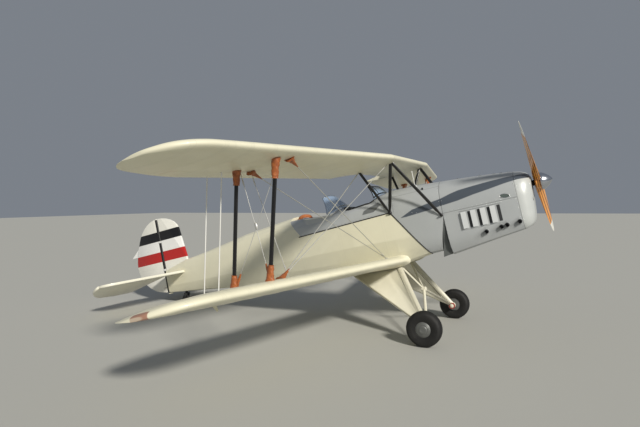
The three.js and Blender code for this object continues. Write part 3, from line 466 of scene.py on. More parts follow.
def metalFinish(name, colour, deep, roughness):
    finish = Finish(name, colour, roughness, 0.1, coat=0.1)
    point, x, y, z = finish.axes()
    tone = finish.noise(point, 2.0, 4) * 0.11 + finish.noise(point, 16, 3, stretch=(1, 1, 0.3)) * 0.05 + 0.92
    base = finish.shade(finish.mix(finish.noise(point, 1.1, 2), colour, deep), tone)
    base = finish.mix(stripeOf(finish, x, z), base, colours["stripe"])
    slot = metalLook["louvres"]
    start, gap = slot["from"], slot["pitch"]
    wall = abs(y).above(metalLook["sideWall"])
    # painted shade: in each louvre the recess in front of the blade is painted near black for its shade
    inside = ((x - start) / gap).math("FRACT").above(slot["blade"] / gap + 0.01, 0.02)
    inside = inside * z.between(slot["low"], slot["high"], 0.003)
    inside = inside * x.between(start, start + gap * slot["count"], 0.003) * wall
    # painted shade: a dark line just under the upper frame lip above the louvres
    shadeUnderLip = abs(z - slot["high"] - 0.012).below(0.0018, 0.0015) * x.between(start - 0.02, 1.05) * wall
    seams = seamsOf(x, z)
    grime = sootOf(x, y, z) * (finish.noise(point, 30, 3) * 0.5 + 0.5)
    # seam lines and exhaust soot darken the paint, and so does the painted shade under the louvre lip
    worn = (1 - seams * 0.6) * (1 - grime * metalLook["soot"]["strength"]) * (1 - shadeUnderLip * 0.5)
    base = finish.mix(inside, finish.shade(base, worn), metalLook["slotShade"])
    # painted shadow: a dark patch on the side by the front cockpit
    base = finish.mix(panelOf(x, z, metalLook["shadowPatch"]), base, metalLook["shadowPatchColour"])
    finish.set(colour=base, roughness=finish.noise(point, 14, 4) * 0.14 + roughness - 0.06 + grime * 0.3)
    finish.bump(finish.noise(point, 3.0, 2) * 2.2 - seams * 0.8, 0.0016, 0.35)
    return finish.material


woodLook = {
    "layers": 46,  # in a metre
    "axisZ": 1.360,
    "paleTip": 0.800,  # from this radius out
}


def woodFinish():  # glued laminations that run out along the twisted blades
    finish = Finish("propeller_wood", colours["wood"], 0.3, coat=0.35)
    point, x, y, z = finish.axes()
    line = ribGap(x * woodLook["layers"] + finish.noise(point, 3, 2) * 0.05, 1).below(0.16, 0.05)
    grain = finish.noise(point, 60, 4, stretch=(1, 0.3, 0.3))
    colour = finish.mix(line, colours["wood"], colours["woodDark"])
    rise = z - woodLook["axisZ"]
    reach = (y * y + rise * rise).math("SQRT")
    colour = finish.mix(reach.above(woodLook["paleTip"], 0.003), colour, colours["creamWhite"])
    finish.set(colour=finish.shade(colour, grain * 0.5 + 0.75), roughness=grain * 0.1 + 0.14)
    finish.bump(grain, 0.0003, 0.3)
    return finish.material


def leatherFinish(name, colour, deep):
    finish = Finish(name, colour, 0.5, coat=0.08)
    point, *_ = finish.axes()
    worn = finish.noise(point, 26, 4)
    crease = finish.noise(point, 70, 5, 0.6)
    colour = finish.mix(worn.above(0.5, 0.35), deep, colour)
    finish.set(colour=finish.shade(colour, crease * 0.5 + 0.75), roughness=crease * 0.25 + 0.36)
    finish.bump(crease + finish.noise(point, 600, 2) * 0.3, 0.0022, 0.6)
    return finish.material


def rubberFinish():
    finish = Finish("tyre_rubber", (0.022, 0.022, 0.023), 0.75)
    point, *_ = finish.axes()
    dust = finish.noise(point, 18, 5) * finish.noise(point, 4, 2)
    finish.set(colour=finish.mix(dust.above(0.33, 0.25) * 0.4, (0.006, 0.006, 0.0065), (0.030, 0.028, 0.024)),
               roughness=finish.noise(point, 40, 3) * 0.2 + 0.6)
    finish.bump(finish.noise(point, 160, 3), 0.0006, 0.4)
    return finish.material


def plainFinish(name, colour, roughness, metallic=0.0, coat=0.0, spread=0.08, grain=22, depth=0.0004):
    finish = Finish(name, colour, roughness, metallic, coat)
    point, *_ = finish.axes()
    tone = finish.noise(point, 4, 4) * (2 * spread) + (1 - spread)
    base = finish.mix(finish.noise(point, grain, 2), colour, tuple(c * 0.93 for c in colour))
    finish.set(colour=finish.shade(base, tone),
               roughness=finish.noise(point, grain, 4) * 0.22 + (roughness - 0.1))
    finish.bump(finish.noise(point, grain * 6, 4), depth, 0.4)
    return finish.material


materials = {
    "wing": wingFinish(),
    "fuselage": fuselageFinish(),
    "tail": tailFinish(),
    "tailplane": planeTailFinish(),
    "metal": metalFinish("painted_metal", colours["silver"], (0.50, 0.515, 0.52), 0.46),
    "noseMetal": metalFinish("nose_metal", colours["noseWhite"], (0.66, 0.67, 0.66), 0.36),
    "wood": woodFinish(),
    "boot": leatherFinish("boot_leather", colours["boot"], (0.20, 0.05, 0.02)),
    "leather": leatherFinish("seat_leather", colours["leather"], (0.20, 0.06, 0.025)),
    "headrest": leatherFinish("headrest_leather", colours["headrest"], (0.42, 0.12, 0.035)),
    "rubber": rubberFinish(),
    "blackPaint": plainFinish("black_enamel", colours["black"], 0.36, coat=0.15),
    "creamPaint": plainFinish("cream_enamel", (0.79, 0.76, 0.62), 0.32, coat=0.3),
    "darkMetal": plainFinish("dark_metal", (0.05, 0.052, 0.055), 0.5, 0.7, spread=0.2),
    "steel": plainFinish("steel", (0.62, 0.63, 0.64), 0.28, 1.0, spread=0.12),
    "wire": plainFinish("wire_steel", (0.60, 0.60, 0.58), 0.4, 0.5, spread=0.1),
    "hub": plainFinish("hub_metal", (0.150, 0.155, 0.150), 0.45, 0.4, spread=0.2),
    "paneGrey": plainFinish("inspection_pane", (0.10, 0.125, 0.115), 0.2, coat=0.5),
    # grey darkened to a painted shade, for the air outlet's recess
    "outlet": plainFinish("outlet_shade_grey", (0.115, 0.125, 0.122), 0.5),
    "polished": plainFinish("polished_metal", (0.58, 0.61, 0.66), 0.2, 1.0, spread=0.02, depth=0.0001),
    "panelBlack": plainFinish("panel_black", (0.02, 0.02, 0.022), 0.55),
    "white": plainFinish("white_enamel", (0.78, 0.78, 0.76), 0.3, coat=0.3),
    "webbing": plainFinish("belt_webbing", (0.16, 0.15, 0.11), 0.8, grain=120, depth=0.0012),
    "trim": plainFinish("edge_rubber", (0.015, 0.015, 0.016), 0.6),
    "redPaint": plainFinish("red_enamel", (0.34, 0.05, 0.04), 0.4),
}
glass = Finish("windscreen_glass", (0.36, 0.50, 0.70), 0.05, coat=0.6)
glass.shader.inputs["Alpha"].default_value = 0.42
materials["glass"] = glass.material
print("materials made:", len(materials))

# Shapes

bodyOf = {node: body for body, nodes in frame["record"]["behaviour"]["bodies"].items() for node in nodes}
sides = {"right": -1, "left": 1}


def turns(count):
    return [2 * math.pi * i / count for i in range(count)]


class Solid:  # closed shapes in airframe axes that become one mesh
    def __init__(self):
        self.points = []
        self.faces = []

    def loft(self, rings, cap=True, closed=True):
        start, count = len(self.points), len(rings[0])
        for ring in rings:
            self.points += [Vector(point) for point in ring]
        for r in range(len(rings) - 1):
            for i in range(count if closed else count - 1):
                a, b = start + r * count + i, start + r * count + (i + 1) % count
                self.faces.append((a, b, b + count, a + count))
        if cap:
            for r in (0, len(rings) - 1):
                self.faces.append(tuple(start + r * count + i for i in range(count)))
        return self

    # flat thins the tube across the lead
    def tube(self, path, radius, sides=12, flat=1.0, lead=(1, 0, 0), loop=False):
        path = [Vector(point) for point in path]
        last = len(path) - 1
        radii = radius if isinstance(radius, (list, tuple)) else [radius] * len(path)
        rings = []
        for i, point in enumerate(path):
            after = path[(i + 1) % len(path)] if loop else path[min(i + 1, last)]
            before = path[i - 1] if loop or i else path[0]
            ahead = (after - before).normalized()
            guide = Vector(lead)
            if abs(guide.normalized().dot(ahead)) > 0.96:
                guide = Vector((0, 0.2, 1))
            side = (guide - ahead * ahead.dot(guide)).normalized()
            across = ahead.cross(side)
            rings.append([point + (side * math.cos(a) + across * math.sin(a) * flat) * radii[i]
                          for a in turns(sides)])
        return self.loft(rings + rings[:1], cap=False) if loop else self.loft(rings)

    # the profile is of (radius, height along the axis)
    def spin(self, profile, centre, axis, segments=64, closed=False):
        axis = Vector(axis).normalized()
        side = axis.orthogonal().normalized()
        across = axis.cross(side)
        rings = [[Vector(centre) + axis * h + (side * math.cos(a) + across * math.sin(a)) * r for r, h in profile]
                 for a in turns(segments)]
        return self.loft(rings + rings[:1], cap=False, closed=closed)

    def slab(self, outline, thickness):  # a flat outline with a thickness vector
        return self.loft([outline, [Vector(point) + Vector(thickness) for point in outline]])

    def block(self, low, high):
        (a, b, c), (d, e, f) = low, high
        return self.slab([(a, b, c), (d, b, c), (d, e, c), (a, e, c)], (0, 0, f - c))

    def ball(self, centre, radius, axis=(0, 0, 1), squash=1.0, segments=20):
        steps = max(6, segments // 2)
        profile = [(radius * math.sin(math.pi * i / steps), -radius * squash * math.cos(math.pi * i / steps))
                   for i in range(steps + 1)]
        return self.spin(profile, centre, axis, segments)

    def mesh(self, name):
        mesh = bpy.data.meshes.new(name)
        mesh.from_pydata([tuple(place(*point)) for point in self.points], [], self.faces)
        return tidied(mesh)


def tidied(mesh):
    work = bmesh.new()
    work.from_mesh(mesh)
    bmesh.ops.remove_doubles(work, verts=work.verts, dist=2e-6)
    bmesh.ops.dissolve_degenerate(work, edges=work.edges, dist=1e-7)
    loose = [edge for edge in work.edges if not edge.link_faces]
    bmesh.ops.delete(work, geom=loose, context="EDGES")
    bmesh.ops.recalc_face_normals(work, faces=work.faces)
    work.to_mesh(mesh)
    work.free()
    return mesh


def smooth(mesh, angle):
    mesh.polygons.foreach_set("use_smooth", [True] * len(mesh.polygons))
    mesh.set_sharp_from_angle(angle=math.radians(angle))


def addPiece(name, shape, material, body="airframe", replaces=(), angle=35):
    mesh = shape.mesh(name) if isinstance(shape, Solid) else shape
    piece = bpy.data.objects.new(name, mesh)
    scene.collection.objects.link(piece)
    mesh.materials.clear()
    mesh.materials.append(materials[material])
    smooth(mesh, angle)
    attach(piece, body)
    if replaces:
        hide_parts(*replaces)
    return piece


# station, belly, its half width, widest line, its half width, longeron, its half width, crown
hullRows = [
    (0.390, 0.800, 0.272, 1.000, 0.352, 1.214, 0.362, 1.640),
    (0.141, 0.788, 0.285, 1.030, 0.372, 1.282, 0.374, 1.664),
    (-0.237, 0.722, 0.300, 1.040, 0.382, 1.384, 0.380, 1.678),
    (-0.460, 0.716, 0.300, 1.048, 0.382, 1.378, 0.379, 1.632),
    (-0.800, 0.706, 0.300, 1.060, 0.382, 1.368, 0.376, 1.614),
    (-1.300, 0.716, 0.275, 1.060, 0.358, 1.356, 0.352, 1.604),
    (-1.735, 0.742, 0.245, 1.060, 0.325, 1.346, 0.322, 1.651),
    (-2.600, 0.808, 0.180, 1.056, 0.248, 1.312, 0.246, 1.590),
    (-3.413, 0.880, 0.118, 1.058, 0.160, 1.276, 0.160, 1.480),
    (-3.900, 0.921, 0.078, 1.062, 0.105, 1.255, 0.104, 1.432),
    (-4.378, 0.962, 0.030, 1.066, 0.038, 1.240, 0.038, 1.330),
]
cowlRows = [
    (0.380, 0.727, 0.235, 0.940, 0.342, 1.237, 0.342, 1.641),
    (0.700, 0.778, 0.238, 0.960, 0.330, 1.237, 0.332, 1.611),
    (1.000, 0.826, 0.230, 0.980, 0.312, 1.236, 0.314, 1.577),
    (1.235, 0.860, 0.212, 0.995, 0.290, 1.236, 0.294, 1.541),
    (1.310, 0.878, 0.192, 1.005, 0.270, 1.236, 0.275, 1.522),
    (1.362, 0.904, 0.160, 1.020, 0.240, 1.236, 0.246, 1.498),
    (1.396, 0.942, 0.122, 1.042, 0.200, 1.236, 0.208, 1.467),
    (1.412, 0.990, 0.088, 1.065, 0.160, 1.236, 0.168, 1.430),
]
noseRakes = [0, 0, 0, 0, 0.03, 0.06, 0.08, 0.09]


def guideOf(rows, rakes=None):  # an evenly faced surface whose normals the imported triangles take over
    rows = sorted(zip(rows, rakes or [0] * len(rows)))
    stations = [row[0] for row, _ in rows]
    curves = [monotone(stations, [row[i] for row, _ in rows]) for i in range(1, 8)]
    rake = monotone(stations, [tilt for _, tilt in rows])
    rings = []
    for a, b in zip(stations, stations[1:]):
        for x in np.linspace(a, b, 6)[:-1]:
            rings.append(guideRing(x, [curve(x) for curve in curves], rake(x)))
    rings.append(guideRing(stations[-1], [curve(stations[-1]) for curve in curves], rake(stations[-1])))
    shape = Solid().loft(rings, cap=False)
    points = [place(*point) for point in shape.points]
    normals = [Vector() for _ in points]
    for face in shape.faces:
        a, b, c, d = (points[i] for i in face)
        facing = (c - a).cross(d - b)
        for i in face:
            normals[i] += facing
    middle = place((stations[0] + stations[-1]) / 2, 0, 1.1)
    for i, point in enumerate(points):
        normals[i].normalize()
        if normals[i].dot(point - middle) < 0 and abs((point - middle).x) < 0.2:
            normals = [-normal for normal in normals]
            break
    return BVHTree.FromPolygons(points, shape.faces), points, shape.faces, normals


def guideRing(x, row, rake):
    z0, w0, z1, w1, z2, w2, z3 = row
    half = [(w0 - (w1 - w0) * 0.3, z0), (w0 + (w1 - w0) * 0.28, z0 + (z1 - z0) * 0.1),
            (w0 + (w1 - w0) * 0.78, z0 + (z1 - z0) * 0.5), (w1, z1), (w2, z2)]
    power = 2 / 2.6
    for i in range(1, 15):
        a = math.pi / 2 * i / 15
        half.append((w2 * math.cos(a) ** power, z2 + (z3 - z2) * math.sin(a) ** power))
    outline = [(0, z0)] + half + [(0, z3)] + [(-y, z) for y, z in reversed(half)]
    return [(x - rake * (1.5 - z), y, z) for y, z in outline]


def eased(mesh, guide, limit):  # smooth normals where the faces follow the guide, flat ones elsewhere
    tree, points, faces, normals = guide
    least = math.cos(math.radians(limit))
    loops = [None] * len(mesh.loops)
    for polygon in mesh.polygons:
        for loop in polygon.loop_indices:
            loops[loop] = polygon.normal.copy()
            spot, _, index, far = tree.find_nearest(mesh.vertices[mesh.loops[loop].vertex_index].co)
            if far < 0.03:
                weights = poly_3d_calc([points[k] for k in faces[index]], spot)
                soft = sum((normals[k] * w for k, w in zip(faces[index], weights)), Vector()).normalized()
                if soft.dot(polygon.normal) > least:
                    loops[loop] = soft
    mesh.normals_split_custom_set(loops)


def creased(mesh, height, lean):  # leans the sides below one height towards the ground, so that the fold shows
    down = direction(0, 0, -lean)
    loops = [corner.vector.copy() for corner in mesh.corner_normals]
    for polygon in mesh.polygons:
        middle = turnUp.inverted() @ (polygon.center - axle)
        if middle.z < height and abs(polygon.normal.y) > 0.8:
            for loop in polygon.loop_indices:
                loops[loop] = (loops[loop] + down).normalized()
    mesh.normals_split_custom_set(loops)


def mergedCopy(node):
    mesh = frame["nodes"][node].data.copy()
    work = bmesh.new()
    work.from_mesh(mesh)
    bmesh.ops.remove_doubles(work, verts=work.verts, dist=1e-5)
    work.to_mesh(mesh)
    work.free()
    return mesh


def skin(node, material, angle=35):
    return addPiece(node + "_skin", mergedCopy(node), material, bodyOf[node], (node,), angle)


def surfaceOf(*nodes):  # what rays are cast at, in airframe axes
    points, faces = [], []
    for node in nodes:
        mesh = frame["nodes"][node].data
        start = len(points)
        points += [turnUp.inverted() @ (vertex.co - axle) for vertex in mesh.vertices]
        faces += [[start + i for i in polygon.vertices] for polygon in mesh.polygons]
    return BVHTree.FromPolygons(points, faces)


def cast(tree, origin, towards):  # the point met and its outward normal
    ray = Vector(towards).normalized()
    point, normal, _, _ = tree.ray_cast(Vector(origin), ray)
    if point is None:
        return None
    return point, (normal if normal.dot(ray) < 0 else -normal)


def monotone(xs, ys):  # a smooth curve through points that never overshoots them
    xs, ys = np.asarray(xs, float), np.asarray(ys, float)
    step = np.diff(xs)
    slope = np.diff(ys) / step
    tangent = np.zeros(len(xs))
    for i in range(1, len(xs) - 1):
        if slope[i - 1] * slope[i] > 0:
            before, after = 2 * step[i] + step[i - 1], step[i] + 2 * step[i - 1]
            tangent[i] = (before + after) / (before / slope[i - 1] + after / slope[i])
    tangent[0], tangent[-1] = slope[0], slope[-1]

    def value(x):
        i = int(np.clip(np.searchsorted(xs, x) - 1, 0, len(xs) - 2))
        t = (min(max(x, xs[0]), xs[-1]) - xs[i]) / step[i]
        return float((1 + 2 * t) * (1 - t) ** 2 * ys[i] + t * (1 - t) ** 2 * step[i] * tangent[i]
                     + t * t * (3 - 2 * t) * ys[i + 1] + t * t * (t - 1) * step[i] * tangent[i + 1])
    return value


# Wings

wings = {
    "span": 3.7, "chord": 0.93, "sweep": 11.05, "incidence": 1.5,
    "hinge": 0.7, "noseRadius": 0.036, "coveRadius": 0.043, "gap": 0.006,
    "aileronInner": 1.95, "aileronOuter": 3.15,
    "ribPitch": wingLook["ribPitch"], "stepsPerRib": 8, "sag": 0.0032, "nosePoints": 20, "rearPoints": 8,
    "flareWidth": 0.10, "flareRise": 0.034,
}
planes = {
    "upper": {"leX": 0.081, "z": 1.990, "rootY": 0.733, "dihedral": 1.16, "tipDrop": -0.008,
              "frontSpar": 0.130, "rearSpar": 0.570, "startY": 0.7333},
    "lower": {"leX": -0.157, "z": 0.777, "rootY": 0.378, "dihedral": 2.27, "tipDrop": 0.028,
              "frontSpar": 0.170, "rearSpar": 0.580, "startY": 0.318},
}
cutout = {"behind": 0.551, "halfWidth": 0.610, "corner": 0.170}
section = [(0, 0, 0), (0.006, 0.018, -0.016), (0.03, 0.039, -0.031), (0.1, 0.063, -0.05), (0.25, 0.074, -0.06),
           (0.45, 0.069, -0.056), (0.7, 0.045, -0.036), (0.9, 0.018, -0.013), (1, 0.0025, -0.0025)]
tip = [(0.8, 0, 0.93, 0), (0.55, 0, 0.89, 0), (0.37, 0.003, 0.84, 0.05), (0.26, 0.022, 0.805, 0.12),
       (0.165, 0.062, 0.77, 0.25), (0.09, 0.13, 0.725, 0.45), (0.035, 0.23, 0.655, 0.7), (0, 0.36, 0.53, 1)]
upHeight = monotone([math.sqrt(row[0]) for row in section], [row[1] for row in section])
downHeight = monotone([math.sqrt(row[0]) for row in section], [row[2] for row in section])
tipInsets = [math.sqrt(row[0]) for row in reversed(tip)]
tipLe, tipTe, tipDrop = (monotone(tipInsets, [row[i] for row in reversed(tip)]) for i in (1, 2, 3))


def wingSpot(plane, y, behind, raised=0.0):
    out = max(abs(y) - plane["rootY"], 0)
    return Vector((plane["leX"] - out * math.tan(math.radians(wings["sweep"])) - behind, y,
                   plane["z"] + out * math.tan(math.radians(plane["dihedral"]))
                   - behind * math.tan(math.radians(wings["incidence"])) + raised))


def fullHeight(behind, upper):
    f = math.sqrt(behind / wings["chord"])
    return (upHeight(f) if upper else downHeight(f)) * wings["chord"]


def chordAt(y):  # leading edge, trailing edge and drop at a spanwise place
    inset = math.sqrt(max(wings["span"] - abs(y), 0))
    if inset >= tipInsets[-1]:
        return 0.0, wings["chord"], 0.0
    return tipLe(inset), tipTe(inset), tipDrop(inset)


def wingSkin(plane, y, behind, upper):  # a point on the covering, with its sag between the ribs
    le, te, drop = chordAt(y)
    chord = te - le
    f = min(max((behind - le) / chord, 0), 1)
    height = (upHeight(math.sqrt(f)) if upper else downHeight(math.sqrt(f))) * chord
    phase = abs(y) / wings["ribPitch"] % 1
    held = min(max((f - 0.09) / 0.12, 0), 1) * min((1 - f) / 0.12, 1) * min(chord / wings["chord"], 1)
    sink = wings["sag"] * math.sin(math.pi * phase) ** 1.3 * held
    height += -sink if upper else sink
    flare = max(1 - (abs(y) - plane["startY"]) / wings["flareWidth"], 0) if plane["leX"] < 0 else 0
    height += (1 if upper else -0.6) * wings["flareRise"] * flare ** 2.2 * min(f / 0.01, 1) ** 0.5 * (1 - f * 0.5)
    forward = 0.03 * flare ** 2.2 * (1 - f)
    return wingSpot(plane, y, le + f * chord - forward, height - drop * plane["tipDrop"])


def hingeSpot(plane, y):
    middle = (fullHeight(wings["hinge"], True) + fullHeight(wings["hinge"], False)) / 2
    return wingSpot(plane, y, wings["hinge"], middle)


# between two skin points, round the hinge line or as a half round
def arc(plane, y, radius, start, end, count, bulge):
    centre = hingeSpot(plane, y) if bulge is None else (start + end) / 2
    first, last = start - centre, end - centre
    if bulge is None:
        low, high = math.atan2(first.z, first.x), math.atan2(last.z, last.x)
        angles = [low + (high - low) * (i + 1) / (count + 1) for i in range(count)]
        return [centre + Vector((math.cos(a) * radius, 0, math.sin(a) * radius)) for a in angles]
    angles = [math.pi * (i + 1) / (count + 1) for i in range(count)]
    return [centre + first * math.cos(a) - Vector((bulge, 0, 0)) * math.sin(a) for a in angles]


# how far behind the leading edge the skin comes within a radius of the hinge
def reachFrom(plane, y, radius, upper):
    centre = hingeSpot(plane, y)
    low, high = wings["hinge"] - radius, wings["hinge"]
    for _ in range(24):
        middle = (low + high) / 2
        far = (wingSkin(plane, y, middle, upper) - centre).length > radius
        low, high = (middle, high) if far else (low, middle)
    return high


def panelRing(plane, y, kind, end=None):
    le, te, _ = chordAt(y)
    total = 2 * wings["rearPoints"]
    fixed = le + (te - le) * 0.7226
    if kind == "cove":
        topEnd, lowEnd = (reachFrom(plane, y, wings["coveRadius"], upper) for upper in (True, False))
    else:
        topEnd = lowEnd = end or fixed
    steps = [(i / wings["nosePoints"]) ** 2 for i in range(wings["nosePoints"] + 1)]
    top = [wingSkin(plane, y, le + (topEnd - le) * s, True) for s in reversed(steps)]
    low = [wingSkin(plane, y, le + (lowEnd - le) * s, False) for s in steps[1:]]
    if kind == "full":
        parts = [(i + 1) / wings["rearPoints"] for i in range(wings["rearPoints"])]
        rear = [wingSkin(plane, y, lowEnd + (te - lowEnd) * s, False) for s in parts]
        rear += [wingSkin(plane, y, topEnd + (te - topEnd) * s, True) for s in reversed(parts)]
    elif kind == "cove":
        rear = arc(plane, y, wings["coveRadius"], low[-1], top[0], total, None)
    else:
        rear = arc(plane, y, 0, low[-1], top[0], total, 0.012)
    return top + low + rear


def stationsBetween(start, end):
    step = wings["ribPitch"] / wings["stepsPerRib"]
    inner = [i * step for i in range(math.floor(start / step) + 1, math.ceil(end / step))]
    return [start] + [y for y in inner if start + 0.002 < y < end - 0.002] + [end]


def panelSolid(plane, side):
    bay = (wings["aileronInner"] - wings["gap"], wings["aileronOuter"] + wings["gap"])
    stations = [(y, "full") for y in stationsBetween(plane["startY"], bay[0])]
    stations += [(y, "cove") for y in stationsBetween(bay[0] + 1e-4, bay[1] - 1e-4)]
    outer = [y for y in stationsBetween(bay[1], wings["span"] - 0.2)]
    outer += [wings["span"] - 0.2 * (1 - i / 14) ** 2 for i in range(1, 14)] + [wings["span"] - 0.0004]
    stations += [(y, "full") for y in outer]
    return Solid().loft([panelRing(plane, side * y, kind) for y, kind in stations])


def aileronRing(plane, y):
    _, te, _ = chordAt(y)
    starts = {upper: reachFrom(plane, y, wings["noseRadius"], upper) for upper in (True, False)}
    parts = [i / 10 for i in range(11)]
    top = [wingSkin(plane, y, starts[True] + (te - starts[True]) * s, True) for s in reversed(parts)]
    low = [wingSkin(plane, y, starts[False] + (te - starts[False]) * s, False) for s in parts]
    return top + arc(plane, y, wings["noseRadius"], top[-1], low[0], 11, None) + low


def aileronSolid(plane, side):
    stations = stationsBetween(wings["aileronInner"], wings["aileronOuter"])
    return Solid().loft([aileronRing(plane, side * y) for y in stations])


def centreSolid(plane):
    inner = cutout["halfWidth"] - cutout["corner"]
    half = [(y, None) for y in stationsBetween(cutout["halfWidth"] + 1e-4, plane["rootY"])]
    rings = []

    def endOf(y):
        past = max(abs(y) - inner, 0) / cutout["corner"]
        return cutout["behind"] + cutout["corner"] * (1 - math.sqrt(max(1 - past * past, 0)))

    bent = [inner + cutout["corner"] * math.sin(math.pi / 2 * i / 10) for i in range(11)]
    across = stationsBetween(0, inner)[:-1] + bent
    for side in (-1, 1):
        part = [panelRing(plane, side * y, "full", 0.721) for y, _ in half]
        part = [panelRing(plane, side * y, "round", endOf(y)) for y in across] + part
        rings = list(reversed(part)) if side < 0 else rings + part[1:]
    return Solid().loft(rings)


hornPlate = {
    "y": 2.65, "behind": 0.72, "raised": -0.012, "half": 0.005,
    "outline": [(0.008, 0.006), (-0.06, 0.004), (-0.035, -0.03), (0.014, -0.096), (0.026, -0.092),
                (0.02, -0.04)],
}


def addWings():
    addPiece("upper_wing_center_cover", centreSolid(planes["upper"]), "wing",
             replaces=("upper_wing_center",))
    for level, plane in planes.items():
        for name, side in sides.items():
            node = f"{level}_wing_{name}"
            addPiece(node + "_cover", panelSolid(plane, side), "wing", replaces=(node,))
            flap = f"aileron_{level}_{name}"
            solid = aileronSolid(plane, side)
            if level == "lower":
                spot = wingSpot(plane, side * hornPlate["y"], hornPlate["behind"], hornPlate["raised"])
                half = hornPlate["half"]
                solid.slab([(spot.x + x, spot.y - half, spot.z + z) for x, z in hornPlate["outline"]],
                           (0, 2 * half, 0))
            addPiece(flap + "_cover", solid, "wing", bodyOf[flap], (flap,))


addWings()
print("wings covered")

# Struts, wires and their boots

strutSizes = {"y": 2.55, "half": 0.0215, "flat": 0.51, "sides": 24}
bootSizes = {  # half sizes, and how the far end narrows and the near end flares
    "foot": {"long": 0.031, "thin": 0.023, "tail": 1.0, "flare": 0.55},
    "head": {"long": 0.034, "thin": 0.026, "tail": 1.0, "flare": 0.4},
    "crossing": {"long": 0.020, "thin": 0.012, "tail": 0.45, "flare": 0.7},
    "flying": {"long": 0.030, "thin": 0.020, "tail": 0.22, "flare": 0.9},
    "landing": {"long": 0.034, "thin": 0.018, "tail": 0.35, "flare": 0.8},
}
bootLengths = {"foot": 0.150, "head": 0.175, "crossing": 0.17, "wire": 0.15}
wireSizes = {
    "half": 0.0052, "crossHalf": 0.0032, "dragHalf": 0.0036, "flat": 0.6,
    "y": 2.39, "footY": 2.28, "crossY": 2.52, "root": (-0.395, 0.428, 0.846),
    "forkLength": 0.07, "fork": ((0.9, 0.0055), (1.4, 0.0065), (1.9, 0.0065), (2.0, 0.003)),
    "lug": [(-0.020, 0), (0.020, 0), (0.024, 0.045), (0.014, 0.066), (-0.014, 0.066), (-0.024, 0.045)],
}


def sparSpot(level, side, y, spar, raised=0.0):
    plane = planes[level]
    return wingSpot(plane, side * y, plane[spar] if isinstance(spar, str) else spar, raised)


def boot(solid, kind, start, end, seed):  # gathered leather round a strut or a wire
    sizes = bootSizes[kind]
    start, end = Vector(start), Vector(end)
    ahead = (end - start).normalized()
    guide = Vector((1, 0, 0)) - ahead * ahead.x
    guide.normalize()
    across = ahead.cross(guide)
    rings = []
    rows = 22
    for j in range(rows + 1):
        s = j / rows
        spread = (1 + sizes["flare"] * (1 - s) ** 3) * (1 + (sizes["tail"] - 1) * s)
        pinch = 0.90 if j in (rows - 2, rows - 1) else 1.0
        ring = []
        for a in turns(28):
            fold = 0.055 * math.sin(3 * a + seed + 6 * s) + 0.05 * math.sin(17 * s + 2 * a + seed)
            fold += 0.035 * math.sin(31 * s + seed * 2 + 5 * a)
            lace = -0.10 * math.exp(-(math.atan2(math.sin(a - 2.4), math.cos(a - 2.4)) / 0.14) ** 2)
            size = spread * pinch * (1 + fold + lace)
            ring.append(start + (end - start) * s + guide * math.cos(a) * sizes["long"] * size
                        + across * math.sin(a) * sizes["thin"] * size)
        rings.append(ring)
    return solid.loft(rings)


def wire(solid, start, end, half):
    start, end = Vector(start), Vector(end)
    ahead = (end - start).normalized()
    solid.tube([start, end], half, 8, wireSizes["flat"])
    length = min(wireSizes["forkLength"], (end - start).length / 4)
    for spot, way in ((start, 1), (end, -1)):
        shares, radii = zip(*wireSizes["fork"])
        solid.tube([spot + ahead * way * length * s for s in shares], radii, 8)


def addStruts():
    for name, side in sides.items():
        leather = Solid()
        for k, row in enumerate(("front", "rear")):
            spar = row + "Spar"
            foot = sparSpot("lower", side, strutSizes["y"], spar)
            head = sparSpot("upper", side, strutSizes["y"], spar)
            node = f"interplane_strut_{row}_{name}"
            bar = Solid().tube([foot, head], strutSizes["half"], strutSizes["sides"], strutSizes["flat"])
            addPiece(node + "_tube", bar, "blackPaint", replaces=(node,))
            ahead = (head - foot).normalized()
            low = fullHeight(planes["lower"][spar], True) - 0.006
            high = fullHeight(planes["upper"][spar], False) + 0.006
            drop = bootLengths["head"] * (1.05 if row == "front" else 0.8)
            boot(leather, "foot", foot + ahead * low, foot + ahead * (low + bootLengths["foot"]), 1.3 + k + side)
            boot(leather, "head", head + ahead * high, head + ahead * (high - drop), 4.1 + k + side)
        addIncidenceWires(name, side, leather)
        addWireSet(name, side, leather)
        addPiece(f"strut_boots_{name}", leather, "boot", angle=60)


def addIncidenceWires(name, side, leather):  # the cross between the struts, and the wire that leans inboard
    fittings = Solid()
    front, rear = (sparSpot("lower", side, wireSizes["crossY"], spar, raised)
                   for spar, raised in (("frontSpar", 0.055), ("rearSpar", 0.05)))
    frontHead, rearHead = (sparSpot("upper", side, wireSizes["crossY"], spar, -0.05)
                           for spar in ("frontSpar", "rearSpar"))
    for low, high, seed in ((front, rearHead, 0.4), (rear, frontHead, 2.2)):
        ahead = (high - low).normalized()
        boot(leather, "crossing", low, low + ahead * bootLengths["crossing"], seed)
        wire(fittings, low, high, wireSizes["crossHalf"])
    crossing = (front + rearHead + rear + frontHead) / 4
    ahead = (rearHead - front).normalized()
    fittings.tube([crossing + ahead * s for s in (-0.035, -0.02, 0.02, 0.035)], [0.004, 0.014, 0.014, 0.004], 10, 0.6)
    wire(fittings, sparSpot("lower", side, wireSizes["footY"], "frontSpar", 0.05),
         sparSpot("upper", side, wireSizes["y"], "rearSpar", -0.04), wireSizes["dragHalf"])
    addPiece(f"incidence_wires_{name}", fittings, "wire")


